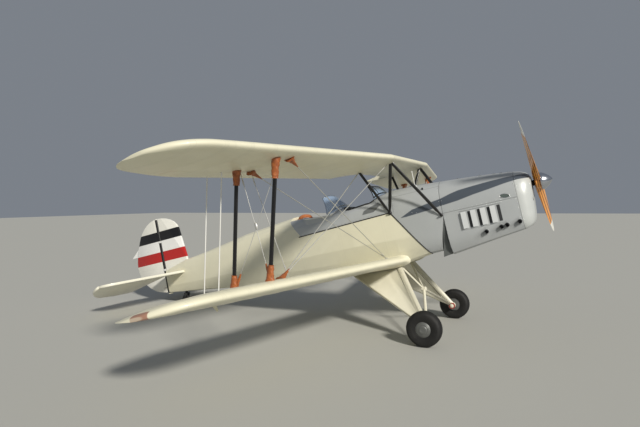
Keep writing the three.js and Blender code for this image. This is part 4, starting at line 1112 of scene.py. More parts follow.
def addWireSet(name, side, leather):
    x, y, z = wireSizes["root"]
    root = Vector((x, side * y, z))
    lug = sparSpot("lower", side, wireSizes["y"], "frontSpar", 0.060)
    flying = [sparSpot("upper", side, wireSizes["y"], spar, -0.045) for spar in ("frontSpar", "rearSpar")]
    landing = [sparSpot("upper", side, cabaneSizes["topY"], 0.13, -0.04),
               sparSpot("upper", side, cabaneSizes["topY"] + 0.025, 0.5, -0.04)]
    for node, start, ends in (("flying_wires", root, flying), ("landing_wires", lug, landing)):
        solid = Solid()
        for end in ends:
            wire(solid, start, end, wireSizes["half"])
        low = start + Vector((0, 0, -0.06))
        solid.slab([low + Vector((x, -0.004, z)) for x, z in wireSizes["lug"]], (0, 0.008, 0))
        solid.tube([start + Vector((0, -0.012, 0)), start + Vector((0, 0.012, 0))], 0.008, 12)
        full = f"{node}_{name}"
        addPiece(full + "_set", solid, "wire", replaces=(full,))
    for k, end in enumerate(flying):
        ahead = (root - end).normalized()
        boot(leather, "flying", end, end + ahead * bootLengths["wire"], 3.0 + k)
    between = ((landing[0] + landing[1]) / 2 - lug).normalized()
    boot(leather, "landing", lug - between * 0.01, lug + between * bootLengths["wire"], 5.5)


cabaneSizes = {
    "topY": 0.620, "frontTopX": -0.011, "rearTopX": -0.433,
    "frontFoot": (0.378, 0.374, 1.218), "rearFoot": (-0.237, 0.386, 1.384),
    "frontHalf": 0.020, "rearHalf": 0.017, "frontFlat": 0.575, "rearFlat": 0.59,
    "frontBall": 0.021, "rearBall": 0.027, "crossHalf": 0.0032,
}


def addCabanes():
    upper = planes["upper"]
    tops = {}
    for name, side in sides.items():
        def topAt(x):
            behind = upper["leX"] - x
            return wingSpot(upper, side * cabaneSizes["topY"], behind, fullHeight(behind, False) / 2)

        def footAt(key):
            x, y, z = cabaneSizes[key]
            return Vector((x, side * y, z))
        solid = Solid()
        frontTop, rearTop = topAt(cabaneSizes["frontTopX"]), topAt(cabaneSizes["rearTopX"])
        frontFoot, rearFoot = footAt("frontFoot"), footAt("rearFoot")
        tops[side] = (frontTop, rearTop, frontFoot, rearFoot)
        for start, end, row in ((frontFoot, frontTop, "front"), (rearFoot, frontTop, "front"),
                                (rearFoot, rearTop, "rear")):
            half, flat = cabaneSizes[row + "Half"], cabaneSizes[row + "Flat"]
            ahead = (end - start).normalized()
            solid.tube([start, start + ahead * 0.05, start + ahead * 0.09, end - ahead * 0.06, end],
                       [half * 0.62, half * 0.7, half, half, half * 0.8], 20, flat)
        for spot, row in ((frontFoot, "front"), (rearFoot, "rear")):
            solid.ball(spot, cabaneSizes[row + "Ball"], (0, 1, 0), 0.7)
            solid.tube([spot + Vector((0, side * 0.005, 0)), spot + Vector((0, side * 0.03, 0))], 0.010, 6)
        node = f"cabane_{name}"
        addPiece(node + "_tubes", solid, "blackPaint", replaces=(node,))
    braces = Solid()
    for first, second in ((tops[-1], tops[1]), (tops[1], tops[-1])):
        start, end = first[0] + Vector((0, 0, -0.03)), second[3] + Vector((0, 0, 0.02))
        braces.tube([start, end], cabaneSizes["crossHalf"], 8, wireSizes["flat"])
    addPiece("cabane_cross_wires", braces, "wire")


rodSizes = {
    "y": 2.65, "behind": 0.83, "ball": 0.008, "radii": [0.0045, 0.0045, 0.006, 0.006, 0.0045, 0.0045],
    "fixedBehind": 0.655, "fixedRadii": [0.008, 0.008, 0.0055, 0.0055, 0.008, 0.008],
}


def addRods():
    for name, side in sides.items():
        y, behind = side * rodSizes["y"], rodSizes["behind"]
        low = wingSpot(planes["lower"], y, behind, fullHeight(behind, True) + rodSizes["ball"] + 0.0005)
        high = wingSpot(planes["upper"], y, behind, fullHeight(behind, False) - rodSizes["ball"] - 0.007)
        ahead = (high - low).normalized()
        path = [low + ahead * s for s in (0, 0.03, 0.05)] + [high - ahead * s for s in (0.05, 0.03, 0)]
        solid = Solid().tube(path, rodSizes["radii"], 12)
        for spot in (low, high):
            solid.ball(spot, rodSizes["ball"], (0, 1, 0))
        node = f"aileron_rod_{name}"
        addPiece(node + "_tube", solid, "white", bodyOf[node], (node,))
        behind = rodSizes["fixedBehind"]
        bottom = wingSpot(planes["lower"], y, behind, fullHeight(behind, True) - 0.01)
        top = wingSpot(planes["upper"], y, behind, fullHeight(behind, False) + 0.01)
        path = [bottom, bottom.lerp(top, 0.03), bottom.lerp(top, 0.035),
                top.lerp(bottom, 0.035), top.lerp(bottom, 0.03), top]
        addPiece(f"static_rod_{name}", Solid().tube(path, rodSizes["fixedRadii"], 12), "white")


addStruts()
addCabanes()
addRods()
print("rigging made")

# Undercarriage and wheels

# profiles are of (radius, distance outboard of the wheel's middle)
wheelSizes = {
    "radius": 0.203, "halfTrack": 0.7885, "halfWidth": 0.0696,
    "groove": 0.005, "grooveHalf": 0.0022, "grooves": (-0.030, -0.010, 0.010, 0.030),
    "hub": [(0, -0.0620), (0.058, -0.0620), (0.060, -0.060), (0.064, -0.054), (0.086, -0.050), (0.0997, -0.0485),
            (0.0997, 0.0485), (0.0882, 0.0500), (0.0878, 0.0580), (0.0860, 0.0600), (0.082, 0.0630),
            (0.074, 0.0668), (0.0725, 0.0660), (0.0705, 0.0680), (0.064, 0.0708), (0.055, 0.0728),
            (0.0525, 0.0718), (0.0505, 0.0745), (0.047, 0.0775), (0.0445, 0.0788), (0.020, 0.0788),
            (0.0185, 0.0770), (0, 0.0770)],
    "drum": [(0, -0.080), (0.050, -0.080), (0.066, -0.078), (0.078, -0.074), (0.080, -0.068), (0.080, -0.0645),
             (0.0, -0.0645)],
    "capBolts": 6, "drumBolts": 8,
    "bootY": 0.640, "bootRadius": 0.040,
    "band": [(0.030, -0.030), (0.0415, -0.026), (0.0430, -0.016), (0.0415, -0.006), (0.030, -0.002)],
}
tailWheel = {
    "x": -4.075, "z": 0.7962,
    "tread": [(0.037, 0.0185), (0.048, 0.0245), (0.058, 0.0255), (0.067, 0.0225), (0.0735, 0.0160),
              (0.0772, 0.0075), (0.0740, 0.0065), (0.0740, 0.0045), (0.0778, 0.0035)],
    "disc": [(0, 0.018), (0.012, 0.018), (0.014, 0.013), (0.030, 0.012), (0.036, 0.0175), (0.0385, 0.018)],
}


def bothWays(half, middle=()):  # one side of a profile and its mirror image
    inboard = [(radius, -out) for radius, out in half]
    return inboard + list(middle) + list(reversed(half))


def tyreProfile():
    r, w = wheelSizes["radius"], wheelSizes["halfWidth"]
    side = [(0.0885, 0.0505), (0.0885, 0.0575), (0.095, 0.0605), (0.106, 0.0628), (0.118, 0.0650),
            (0.119, 0.0666), (0.126, 0.0684), (0.136, w), (0.152, w), (0.153, w - 0.0012), (0.157, w - 0.0012),
            (0.158, w - 0.0005), (0.170, 0.0672), (0.181, 0.0612), (0.189, 0.0535), (0.1935, 0.0475),
            (0.1945, 0.0485), (0.1985, 0.043), (0.2008, 0.036)]
    face = []
    for groove in wheelSizes["grooves"]:
        crown = r - 0.0016 * (groove / 0.03) ** 2
        half, deep = wheelSizes["grooveHalf"], crown - wheelSizes["groove"]
        face += [(crown, groove - half - 0.0008), (deep, groove - half),
                 (deep, groove + half), (crown, groove + half + 0.0008)]
    return bothWays(side, face)


def bolts(solid, centre, count, radius, out, reach, size):
    for a in turns(count):
        spot = Vector(centre) + Vector((math.cos(a) * radius, out, math.sin(a) * radius))
        solid.tube([spot, spot + Vector((0, reach, 0))], size, 6)


def addWheel(name, side):
    centre, outboard = (0, side * wheelSizes["halfTrack"], 0), (0, side, 0)
    node = f"tyre_{name}"
    tyre = Solid().spin(tyreProfile(), centre, outboard, 112, closed=True)
    addPiece(node + "_tread", tyre, "rubber", bodyOf[node], (node,))
    solid = Solid().spin(wheelSizes["hub"], centre, outboard, 72)
    bolts(solid, centre, wheelSizes["capBolts"], 0.033, side * 0.0780, side * 0.0010, 0.0038)
    valve = Vector(centre) + Vector((0.083, side * 0.062, 0))
    solid.tube([valve, valve + Vector((-0.012, side * 0.010, 0))], 0.0035, 10)
    node = f"wheel_hub_{name}"
    addPiece(node + "_disc", solid, "hub", bodyOf[node], (node,))
    drum = Solid().spin(wheelSizes["drum"], centre, outboard, 48)
    bolts(drum, centre, wheelSizes["drumBolts"], 0.060, -side * 0.0775, -side * 0.005, 0.005)
    addPiece(f"brake_drum_{name}", drum, "hub")
    end = (0, side * wheelSizes["bootY"], 0)
    joint = Solid().ball(end, wheelSizes["bootRadius"], (0, 1, 0), 0.9)
    addPiece(f"axle_boot_{name}", joint, "creamPaint")
    band = Solid().spin(wheelSizes["band"], end, outboard, 32, closed=True)
    addPiece(f"axle_band_{name}", band, "redPaint")


def addWheels():
    for name, side in sides.items():
        addWheel(name, side)
    centre = (tailWheel["x"], 0, tailWheel["z"])
    tread, disc = (bothWays(tailWheel[key]) for key in ("tread", "disc"))
    small = Solid().spin(tread, centre, (0, 1, 0), 64, closed=True)
    addPiece("tail_wheel_tyre", small, "rubber", bodyOf["tail_wheel"], ("tail_wheel",))
    middle = Solid().spin(disc, centre, (0, 1, 0), 40)
    addPiece("tail_wheel_disc", middle, "hub", bodyOf["tail_wheel"])


gearSizes = {
    "legHead": (-0.324, 0.263, 0.750), "legEnd": (0, 0.676, 0),
    "pipe": 0.0035, "pipeBack": -0.040, "pipePlaces": (0.22, 0.4, 0.6, 0.8, 0.93), "pipeEnd": (-0.03, 0.69, 0.02),
    "boltPlaces": (0.16, 0.5, 0.86), "boltHalf": 0.0225, "bolt": 0.006,
    "clampSpot": (-0.143, 0, 0.353),
    "clamp": [(0, -0.034), (0.020, -0.034), (0.030, -0.026), (0.030, 0.026), (0.020, 0.034), (0, 0.034)],
}


def addGearFittings():
    for name, side in sides.items():
        skin(f"gear_leg_{name}", "creamPaint", 34)
        head, end, pipeEnd = (Vector((x, side * y, z)) for x, y, z in
                              (gearSizes[key] for key in ("legHead", "legEnd", "pipeEnd")))
        back = Vector((gearSizes["pipeBack"], 0, 0))
        line = [head.lerp(end, s) + back for s in gearSizes["pipePlaces"]]
        pipe = Solid().tube(line + [pipeEnd], gearSizes["pipe"], 8)
        addPiece(f"brake_pipe_{name}", pipe, "darkMetal")
        pins, across = Solid(), Vector((0, gearSizes["boltHalf"], 0))
        for s in gearSizes["boltPlaces"]:
            spot = head.lerp(end, s)
            pins.tube([spot - across, spot + across], gearSizes["bolt"], 8)
        addPiece(f"leg_bolts_{name}", pins, "steel")
    skin("gear_pyramid", "creamPaint", 34)
    clamp = Solid().spin(gearSizes["clamp"], gearSizes["clampSpot"], (1, 0, 0), 24)
    addPiece("pyramid_clamp", clamp, "creamPaint")
    skin("tail_wheel_strut", "darkMetal")
    skin("tail_wheel_fork", "darkMetal")


addWheels()
addGearFittings()
print("undercarriage made")

# Propeller and spinner

bladeSizes = [  # share of the tip's radius, width, thickness, blade angle
    (0.04, 0.108, 0.054, 50), (0.12, 0.112, 0.042, 46), (0.25, 0.116, 0.029, 38), (0.42, 0.118, 0.020, 30),
    (0.6, 0.113, 0.015, 24), (0.78, 0.097, 0.012, 20), (0.91, 0.074, 0.009, 17), (0.98, 0.046, 0.007, 16),
    (1, 0.016, 0.004, 16),
]
propeller = {
    "x": 1.469, "z": 1.360, "tip": 0.995, "turn": -51.6,
    "hub": [(0, -0.031), (0.072, -0.031), (0.078, -0.025), (0.078, 0.025), (0.072, 0.031), (0, 0.031)],
}
spinner = {
    "x": 1.503, "length": 0.121,
    "profile": [(0.1, 0), (0.1, 0.012), (0.0865, 0.040), (0.062, 0.074), (0.033, 0.102), (0.0085, 0.1185),
                (0, 0.121)],
    "lip": [(0.0985, -0.004), (0.1005, -0.003), (0.1005, 0.0045), (0.0985, 0.0055), (0.095, 0.0055),
            (0.095, -0.004)],
}


def addPropeller():
    shares = [row[0] for row in bladeSizes]
    width, thick, tilt = (monotone(shares, [row[i] for row in bladeSizes]) for i in (1, 2, 3))
    turn = math.radians(propeller["turn"])
    solid = Solid()
    for way in (1, -1):
        radial = Vector((0, way * math.sin(turn), way * math.cos(turn)))
        tangent = Vector((1, 0, 0)).cross(radial)
        rings = []
        for i in range(49):
            share = 0.04 + 0.96 * (1 - (1 - i / 48) ** 1.5)
            a = math.radians(tilt(share))
            chordwise = tangent * math.cos(a) + Vector((math.sin(a), 0, 0))
            normal = -tangent * math.sin(a) + Vector((math.cos(a), 0, 0))
            centre = Vector((propeller["x"], 0, propeller["z"])) + radial * share * propeller["tip"]
            flatBack = 0.55 + 0.45 * max(1 - share / 0.2, 0)
            ring = []
            for p in turns(32):
                bulge = math.sin(p) * (1 if math.sin(p) > 0 else flatBack)
                ring.append(centre + chordwise * width(share) / 2 * math.cos(p) + normal * thick(share) / 2 * bulge)
            rings.append(ring)
        solid.loft(rings)
    solid.spin(propeller["hub"], (propeller["x"], 0, propeller["z"]), (1, 0, 0), 64)
    addPiece("propeller_blades", solid, "wood", bodyOf["propeller"], ("propeller",))


def addSpinner():
    length, rows = spinner["length"], list(reversed(spinner["profile"]))
    curve = monotone([math.sqrt(length - h) for _, h in rows], [r for r, _ in rows])
    heights = [length * (1 - (1 - i / 30) ** 2) for i in range(1, 31)]
    profile = [(0, 0), (0.0985, 0), (0.1, 0.0015)] + [(curve(math.sqrt(length - h)), h) for h in heights]
    cone = Solid().spin(profile, (spinner["x"], 0, propeller["z"]), (1, 0, 0), 96)
    cone.spin(spinner["lip"], (spinner["x"] + 0.0002, 0, propeller["z"]), (1, 0, 0), 96, closed=True)
    addPiece("spinner_shell", cone, "polished", bodyOf["spinner"], ("spinner",))


addPropeller()
addSpinner()
print("propeller made")

# Fuselage, nose and tail

outside = surfaceOf("fuselage_rear", "top_decking", "front_side_panels", "cowl_upper", "cowl_lower", "nose_bowl")


def onSide(x, z, side, lift=0.0):
    met = cast(outside, (x, side * 2, z), (0, -side, 0))
    return (met[0] + met[1] * lift, met[1]) if met else None


def onTop(x, y, lift=0.0):
    met = cast(outside, (x, y, 3), (0, 0, -1))
    return (met[0] + met[1] * lift, met[1]) if met else None


def along(points, gap):  # evenly spaced places on a line of (a, b) corners
    spots = []
    for (a, b), (c, d) in zip(points, points[1:]):
        count = max(1, round(math.hypot(c - a, d - b) / gap))
        spots += [(a + (c - a) * i / count, b + (d - b) * i / count) for i in range(count)]
    return spots + [points[-1]]


skinOf = {
    "fuselage_rear": "fuselage", "top_decking": "metal", "front_side_panels": "metal", "cowl_upper": "metal",
    "cowl_lower": "metal", "nose_bowl": "noseMetal", "firewall": "darkMetal", "engine_block": "darkMetal",
    "exhaust_stubs": "darkMetal", "fin": "tail", "rudder": "tail", "stabilizer": "tailplane", "elevator": "tailplane",
}
edging = {
    "deck": [(-1.600, 1.3475), (-0.237, 1.3845)],
    "diagonal": [(-0.237, 1.3845), (0.192, 0.7150)],
    "radius": 0.0065,
}


skinAngles = {"fuselage_rear": 11, "rudder": 12, "fin": 12}  # sharper than this shows as an edge
guidedBy = {  # the guide surface, and the most degrees that a normal is turned towards it
    "top_decking": ("hull", 16), "front_side_panels": ("hull", 16),
    "cowl_upper": ("cowl", 16), "cowl_lower": ("cowl", 14), "nose_bowl": ("cowl", 30),
}
crease = {"height": 1.052, "lean": 0.16}


def addFuselage():
    guides = {"hull": guideOf(hullRows), "cowl": guideOf(cowlRows, noseRakes)}
    for node, material in skinOf.items():
        piece = skin(node, material, skinAngles.get(node, 32))
        if node in guidedBy:
            guide, limit = guidedBy[node]
            eased(piece.data, guides[guide], limit)
        if node == "fuselage_rear":
            creased(piece.data, crease["height"], crease["lean"])
    strips = Solid()
    corners = along(edging["deck"], 0.05)[:-1] + along(edging["diagonal"], 0.03)
    for side in (-1, 1):
        path = [onSide(x, z, side, 0.002) for x, z in corners]
        strips.tube([spot[0] for spot in path if spot], edging["radius"], 8, 0.8)
    addPiece("panel_edging", strips, "trim")


deckFittings = {
    "knobs": [(0.196, -0.265), (0.196, 0.265)], "knobRise": 0.016,
    "floatRod": (0.091, -0.178), "floatRise": 0.19,
    "cap": (0.02, 0.0),
    "capProfile": [(0, 0.0), (0.05, 0.0), (0.05, 0.012), (0.046, 0.016), (0.018, 0.018), (0.016, 0.026),
                   (0, 0.027)],
    "latchX": (0.60, 0.86, 1.02, 1.10, 1.18), "latchY": 0.05,
}


def addDeckFittings():
    knobs = Solid()
    rise = deckFittings["knobRise"]
    for x, y in deckFittings["knobs"]:
        spot, normal = onTop(x, y)
        knobs.tube([spot, spot + normal * rise * 0.6, spot + normal * rise], [0.012, 0.010, 0.011], 14)
    addPiece("deck_knobs", knobs, "darkMetal")
    gauge = Solid()
    spot, normal = onTop(*deckFittings["floatRod"])
    gauge.tube([spot, spot + normal * 0.012], [0.024, 0.021], 20)
    gauge.tube([spot, spot + Vector((0, 0, deckFittings["floatRise"]))], 0.0045, 10)
    gauge.ball(spot + Vector((0, 0, deckFittings["floatRise"] + 0.002)), 0.0085)
    addPiece("fuel_float_rod", gauge, "white")
    spot, normal = onTop(*deckFittings["cap"])
    cap = Solid().spin(deckFittings["capProfile"], spot, normal, 36)
    addPiece("fuel_cap", cap, "steel")
    latches = Solid()
    half, axis = Vector((0.016, 0.006, 0)), Vector((0, 0.010, 0))
    for x in deckFittings["latchX"]:
        for y in (-deckFittings["latchY"], deckFittings["latchY"]):
            spot, normal = onTop(x, y)
            latches.block(spot - half - Vector((0, 0, 0.004)), spot + half + Vector((0, 0, 0.007)))
            pin = spot + Vector((-0.012, 0, 0.006))
            latches.tube([pin - axis, pin + axis], 0.004, 8)
    addPiece("cowl_latches", latches, "steel")


portHole = {"x": 1.11, "z": 1.278, "long": 0.052, "high": 0.022, "tilt": -11, "rim": 0.0035}
collar = [(0.0255, -0.004), (0.0300, -0.004), (0.0300, 0.002), (0.0285, 0.0035), (0.0255, 0.0035)]
louvreFrame = {"past": 0.012, "off": 0.016, "half": 0.003}


def addNoseDetails():
    rim, pane = [], []
    turn = math.radians(portHole["tilt"])
    for a in turns(48):
        u, v = portHole["long"] * math.cos(a), portHole["high"] * math.sin(a)
        x = portHole["x"] + u * math.cos(turn) - v * math.sin(turn)
        z = portHole["z"] + u * math.sin(turn) + v * math.cos(turn)
        rim.append(onSide(x, z, -1, 0.001)[0])
        pane.append(onSide(x, z, -1, 0.0018)[0])
    addPiece("port_hole_rim", Solid().tube(rim, portHole["rim"], 10, loop=True), "steel")
    addPiece("port_hole_pane", Solid().slab(pane, (0, 0.006, 0)), "paneGrey")
    collars = Solid()
    for x, z in metalLook["stubs"]:
        spot = onSide(x, z + 0.045, -1)
        collars.spin(collar, Vector((x, spot[0].y + 0.004, z - 0.006)), (0, -1, 0), 36, closed=True)
    addPiece("exhaust_collars", collars, "metal")
    lips = Solid()
    slot, past = metalLook["louvres"], louvreFrame["past"]
    ends = (slot["from"] - past, slot["from"] + slot["pitch"] * slot["count"] + past)
    for side in (-1, 1):
        for z in (slot["low"] - louvreFrame["off"], slot["high"] + louvreFrame["off"]):
            lips.tube([onSide(x, z, side, 0.001)[0] for x in np.linspace(*ends, 12)], louvreFrame["half"], 8)
    addPiece("louvre_frames", lips, "metal")


outlet = {
    "outline": [(0.392, 1.205, 0.338), (0.362, 1.10, 0.344), (0.270, 0.722, 0.262), (0.392, 0.742, 0.240),
                (0.430, 0.90, 0.300), (0.430, 1.15, 0.325)],
    "thickness": 0.004,
    "slitY": -0.130, "slitZ": (1.16, 1.22), "slitHalf": 0.006,
}


def addOutlet():  # the grey panel in the air outlet behind the cowling, its grey darkened to a painted shade of the recess, and a black block that paints the shade in the slit beside the propeller
    panel = Solid()
    for side in (-1, 1):
        panel.slab([(x, side * y, z) for x, z, y in outlet["outline"]], (0, -side * outlet["thickness"], 0))
    addPiece("outlet_shade_panels", panel, "outlet")
    (low, high), half = outlet["slitZ"], outlet["slitHalf"]
    spot = cast(outside, (2.0, outlet["slitY"], 1.20), (-1, 0, 0))[0]
    # painted shade: a black block where the slit's opening would show dark
    slit = Solid().block((spot.x - 0.004, spot.y - half, low), (spot.x + 0.0015, spot.y + half, high))
    addPiece("nose_slit", slit, "trim")


tailDetails = {
    "rudderHinges": (1.34, 1.81), "rudderX": (-4.425, -4.379), "rudderHalf": (0.026, 0.016),
    "horn": [(-4.406, 0.018), (-4.424, 0.018), (-4.434, 0.085), (-4.421, 0.088)], "hornZ": 1.045,
    "elevatorHinges": (0.42, 0.86, 1.24), "elevatorAxis": (-4.335, 1.25), "elevatorRadius": 0.0205,
}


def addTailDetails():
    strip = Solid()
    (back, front), (wide, high) = tailDetails["rudderX"], tailDetails["rudderHalf"]
    for z in tailDetails["rudderHinges"]:
        strip.block((back, -wide, z - high), (front, wide, z + high))
    addPiece("rudder_hinges", strip, "white")
    horns = Solid()
    for side in (-1, 1):
        horns.slab([(x, side * y, tailDetails["hornZ"]) for x, y in tailDetails["horn"]], (0, 0, 0.005))
    addPiece("rudder_horns", horns, "darkMetal", bodyOf["rudder"])
    tabs = Solid()
    x, z = tailDetails["elevatorAxis"]
    for side in (-1, 1):
        for y in tailDetails["elevatorHinges"]:
            tabs.tube([(x, side * (y - 0.02), z), (x, side * (y + 0.02), z)], tailDetails["elevatorRadius"], 14)
    addPiece("elevator_hinges", tabs, "darkMetal")


fastenings = {
    "radius": 0.0042,
    "rise": 0.45,
    "gap": 0.055,
    "acrossAt": (0.376, 0.405, 1.224, 1.252, -0.180),
    "rows": [  # stations and heights down the sides
        [(0.420, 1.2215), (1.220, 1.2215)], [(0.420, 1.2505), (1.220, 1.2505)],
        [(0.405, 0.80), (0.405, 1.60)], [(0.376, 0.90), (0.376, 1.60)],
        [(1.224, 0.90), (1.224, 1.50)], [(1.252, 0.92), (1.252, 1.48)],
        [(0.350, 1.240), (-0.225, 1.398)], [(-0.255, 1.4000), (-1.585, 1.3640)],
        [(-0.205, 1.3560), (0.215, 0.7240)], [(-0.180, 1.40), (-0.180, 1.64)], [(-1.62, 1.36), (-1.715, 1.58)],
    ],
}


def fasteningTree(material):
    tree = bpy.data.node_groups.new("fastenings", "GeometryNodeTree")
    sockets = tree.interface
    sockets.new_socket("Places", in_out="INPUT", socket_type="NodeSocketGeometry")
    for title in ("Radius", "Rise"):
        sockets.new_socket(title, in_out="INPUT", socket_type="NodeSocketFloat")
    sockets.new_socket("Heads", in_out="OUTPUT", socket_type="NodeSocketGeometry")

    def node(kind, settings=None, **values):
        made = tree.nodes.new(kind)
        for key, value in (settings or {}).items():
            setattr(made, key, value)
        for key, value in values.items():
            socket = made.inputs[key.replace("_", " ")]
            if hasattr(value, "links"):
                tree.links.new(value, socket)
            else:
                socket.default_value = value
        return made

    start = node("NodeGroupInput")
    size = node("ShaderNodeCombineXYZ", X=1.0, Y=1.0, Z=start.outputs["Rise"])
    head = node("GeometryNodeMeshUVSphere", Segments=8, Rings=5, Radius=start.outputs["Radius"])
    flat = node("GeometryNodeTransform", Geometry=head.outputs[0], Scale=size.outputs[0])
    facing = node("GeometryNodeInputNamedAttribute", {"data_type": "FLOAT_VECTOR"}, Name="facing")
    turned = node("FunctionNodeAlignRotationToVector", {"axis": "Z"}, Vector=facing.outputs[0])
    heads = node("GeometryNodeInstanceOnPoints", Points=start.outputs["Places"], Instance=flat.outputs[0],
                 Rotation=turned.outputs[0])
    real = node("GeometryNodeRealizeInstances", Geometry=heads.outputs[0])
    painted = node("GeometryNodeSetMaterial", Geometry=real.outputs[0], Material=material)
    end = node("NodeGroupOutput")
    tree.links.new(painted.outputs[0], end.inputs[0])
    return tree


# places and outward directions become one plain mesh
def scattered(name, spots, tree, inputs, body="airframe"):
    mesh = bpy.data.meshes.new(name + "_places")
    mesh.from_pydata([tuple(place(*spot)) for spot, _ in spots], [], [])
    facing = mesh.attributes.new("facing", "FLOAT_VECTOR", "POINT")
    facing.data.foreach_set("vector", [c for _, normal in spots for c in direction(*normal)])
    carrier = bpy.data.objects.new(name + "_places", mesh)
    scene.collection.objects.link(carrier)
    modifier = carrier.modifiers.new("heads", "NODES")
    modifier.node_group = tree
    for item in tree.interface.items_tree:
        if item.name in inputs:
            modifier[item.identifier] = inputs[item.name]
    graph = bpy.context.evaluated_depsgraph_get()
    plain = bpy.data.meshes.new_from_object(carrier.evaluated_get(graph), depsgraph=graph)
    carrier.modifiers.clear()
    bpy.data.objects.remove(carrier)
    plain.name = name
    piece = bpy.data.objects.new(name, plain)
    scene.collection.objects.link(piece)
    smooth(plain, 50)
    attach(piece, body)
    return piece


def addFastenings():
    spots = []
    for row in fastenings["rows"]:
        for x, z in along(row, fastenings["gap"]):
            spots += [met for met in (onSide(x, z, side) for side in (-1, 1)) if met and abs(met[1].y) > 0.15]
    for x in fastenings["acrossAt"]:
        spots += [met for met in (onTop(x, y) for y in np.linspace(-0.24, 0.24, 10)) if met and met[1].z > 0.3]
    sizes = {"Radius": fastenings["radius"], "Rise": fastenings["rise"]}
    scattered("fastening_heads", spots, fasteningTree(materials["steel"]), sizes)


addFuselage()
addDeckFittings()
addNoseDetails()
addOutlet()
addTailDetails()
addFastenings()
print("fuselage, nose and tail made")

# Cockpits

cockpits = {  # stations of the opening, the seat's back, the panel and the stick
    "front": {"from": -0.900, "to": -0.430, "half": 0.285, "seatX": -0.890, "panelX": -0.390, "stickX": -0.460},
    "rear": {"from": -1.525, "to": -1.010, "half": 0.300, "seatX": -1.515, "panelX": -0.975, "stickX": -1.085},
}
screens = {  # middle station, sweep, half width, height in the middle and at the ends
    "front": {"foot": (-0.385, 0.060, 0.270, 1.676, 1.612), "top": (-0.478, 0.030, 0.225, 1.788, 1.788),
              "frame": 0.0065, "finish": "blackPaint", "slot": "black_paint", "bars": (12, 32)},
    "rear": {"foot": (-0.957, 0.175, 0.318, 1.642, 1.548), "top": (-1.130, 0.070, 0.190, 1.825, 1.795),
             "frame": 0.0055, "finish": "polished", "slot": "polished_metal", "bars": ()},
}
paneThickness = 0.0035
# across, height and radius of each dial
dials = [(-0.17, 1.475, 0.036), (-0.062, 1.505, 0.042), (0.062, 1.505, 0.042), (0.17, 1.475, 0.036),
         (0, 1.400, 0.038), (-0.115, 1.385, 0.030), (0.115, 1.385, 0.030)]


def roundedOpening(low, high, half, corner, grow):
    spots = []
    for cx, cy, start in ((high - corner, half - corner, 0), (low + corner, half - corner, 90),
                          (low + corner, corner - half, 180), (high - corner, corner - half, 270)):
        for i in range(13):
            a = math.radians(start + 90 * i / 12)
            spots.append((cx + (corner + grow) * math.cos(a), cy + (corner + grow) * math.sin(a)))
    return spots


def evened(path, gap):  # a closed path with even steps
    spots = []
    for a, b in zip(path, path[1:] + path[:1]):
        count = max(1, round((b - a).length / gap))
        spots += [a.lerp(b, i / count) for i in range(count)]
    return spots


def cushion(name, centre, alongAxis, normal, size, channels):
    alongAxis, acrossAxis, normal = (Vector(axis).normalized() for axis in (alongAxis, (0, 1, 0), normal))
    halfLong, halfWide, thick = size
    count = 30
    solid = Solid()
    for way in (1, -1):
        start = len(solid.points)
        for i in range(count + 1):
            for j in range(count + 1):
                u, v = -math.cos(math.pi * i / count), -math.cos(math.pi * j / count)
                crown = ((1 - u ** 4) * (1 - v ** 4)) ** 0.5
                pull = 1 - 0.03 * (1 - abs(u * v)) * (1 if crown < 0.4 else 0)
                dent = sum(math.exp(-((u - c) / 0.045) ** 2) for c in channels) * 0.22 if way > 0 else 0
                rise = thick * crown * (1 - dent) * (1 if way > 0 else 0.45)
                flat = alongAxis * u * halfLong * pull + acrossAxis * v * halfWide * pull
                solid.points.append(Vector(centre) + flat + normal * way * rise)
        for i in range(count):
            for j in range(count):
                a = start + i * (count + 1) + j
                solid.faces.append((a, a + 1, a + count + 2, a + count + 1))
    piece = addPiece(name, solid, "leather", angle=70)
    return piece


# places are measured forward from the seat's back
seatSizes = {
    "halfWidth": 0.190, "wingThickness": 0.006,
    "bucket": [(0, 1.400), (0.014, 1.403), (0.052, 1.016), (0.370, 1.032), (0.374, 1.004), (0.300, 0.998),
               (0.300, 0.801), (0.292, 0.801), (0.288, 0.990), (0.090, 0.990), (0.084, 0.801), (0.076, 0.801),
               (0.078, 0.988), (0.018, 0.988)],
    "wing": [(0.0, 1.36), (0.05, 1.30), (0.11, 1.16), (0.22, 1.10), (0.36, 1.075), (0.372, 1.005),
             (0.018, 0.99)],
    "cushion": {"spot": (0.215, 1.042), "along": (1, 0, 0.04), "normal": (-0.04, 0, 1),
                "size": (0.150, 0.172, 0.040), "channels": (-0.45, 0, 0.45)},
    "back_pad": {"spot": (0.052, 1.225), "along": (-0.094, 0, 1), "normal": (1, 0, 0.094),
                 "size": (0.155, 0.165, 0.030), "channels": (-0.5, 0, 0.5)},
    "beltHalf": 0.022, "beltFlat": 0.09,
    "shoulder": [(-0.004, 0.075, 1.33), (-0.002, 0.075, 1.404), (0.022, 0.075, 1.406), (0.062, 0.070, 1.36),
                 (0.096, 0.062, 1.24), (0.112, 0.050, 1.12), (0.150, 0.040, 1.096), (0.205, 0.030, 1.090)],
    "lap": [(0.10, 0.183, 1.06), (0.13, 0.150, 1.086), (0.19, 0.090, 1.092), (0.215, 0.030, 1.092)],
}


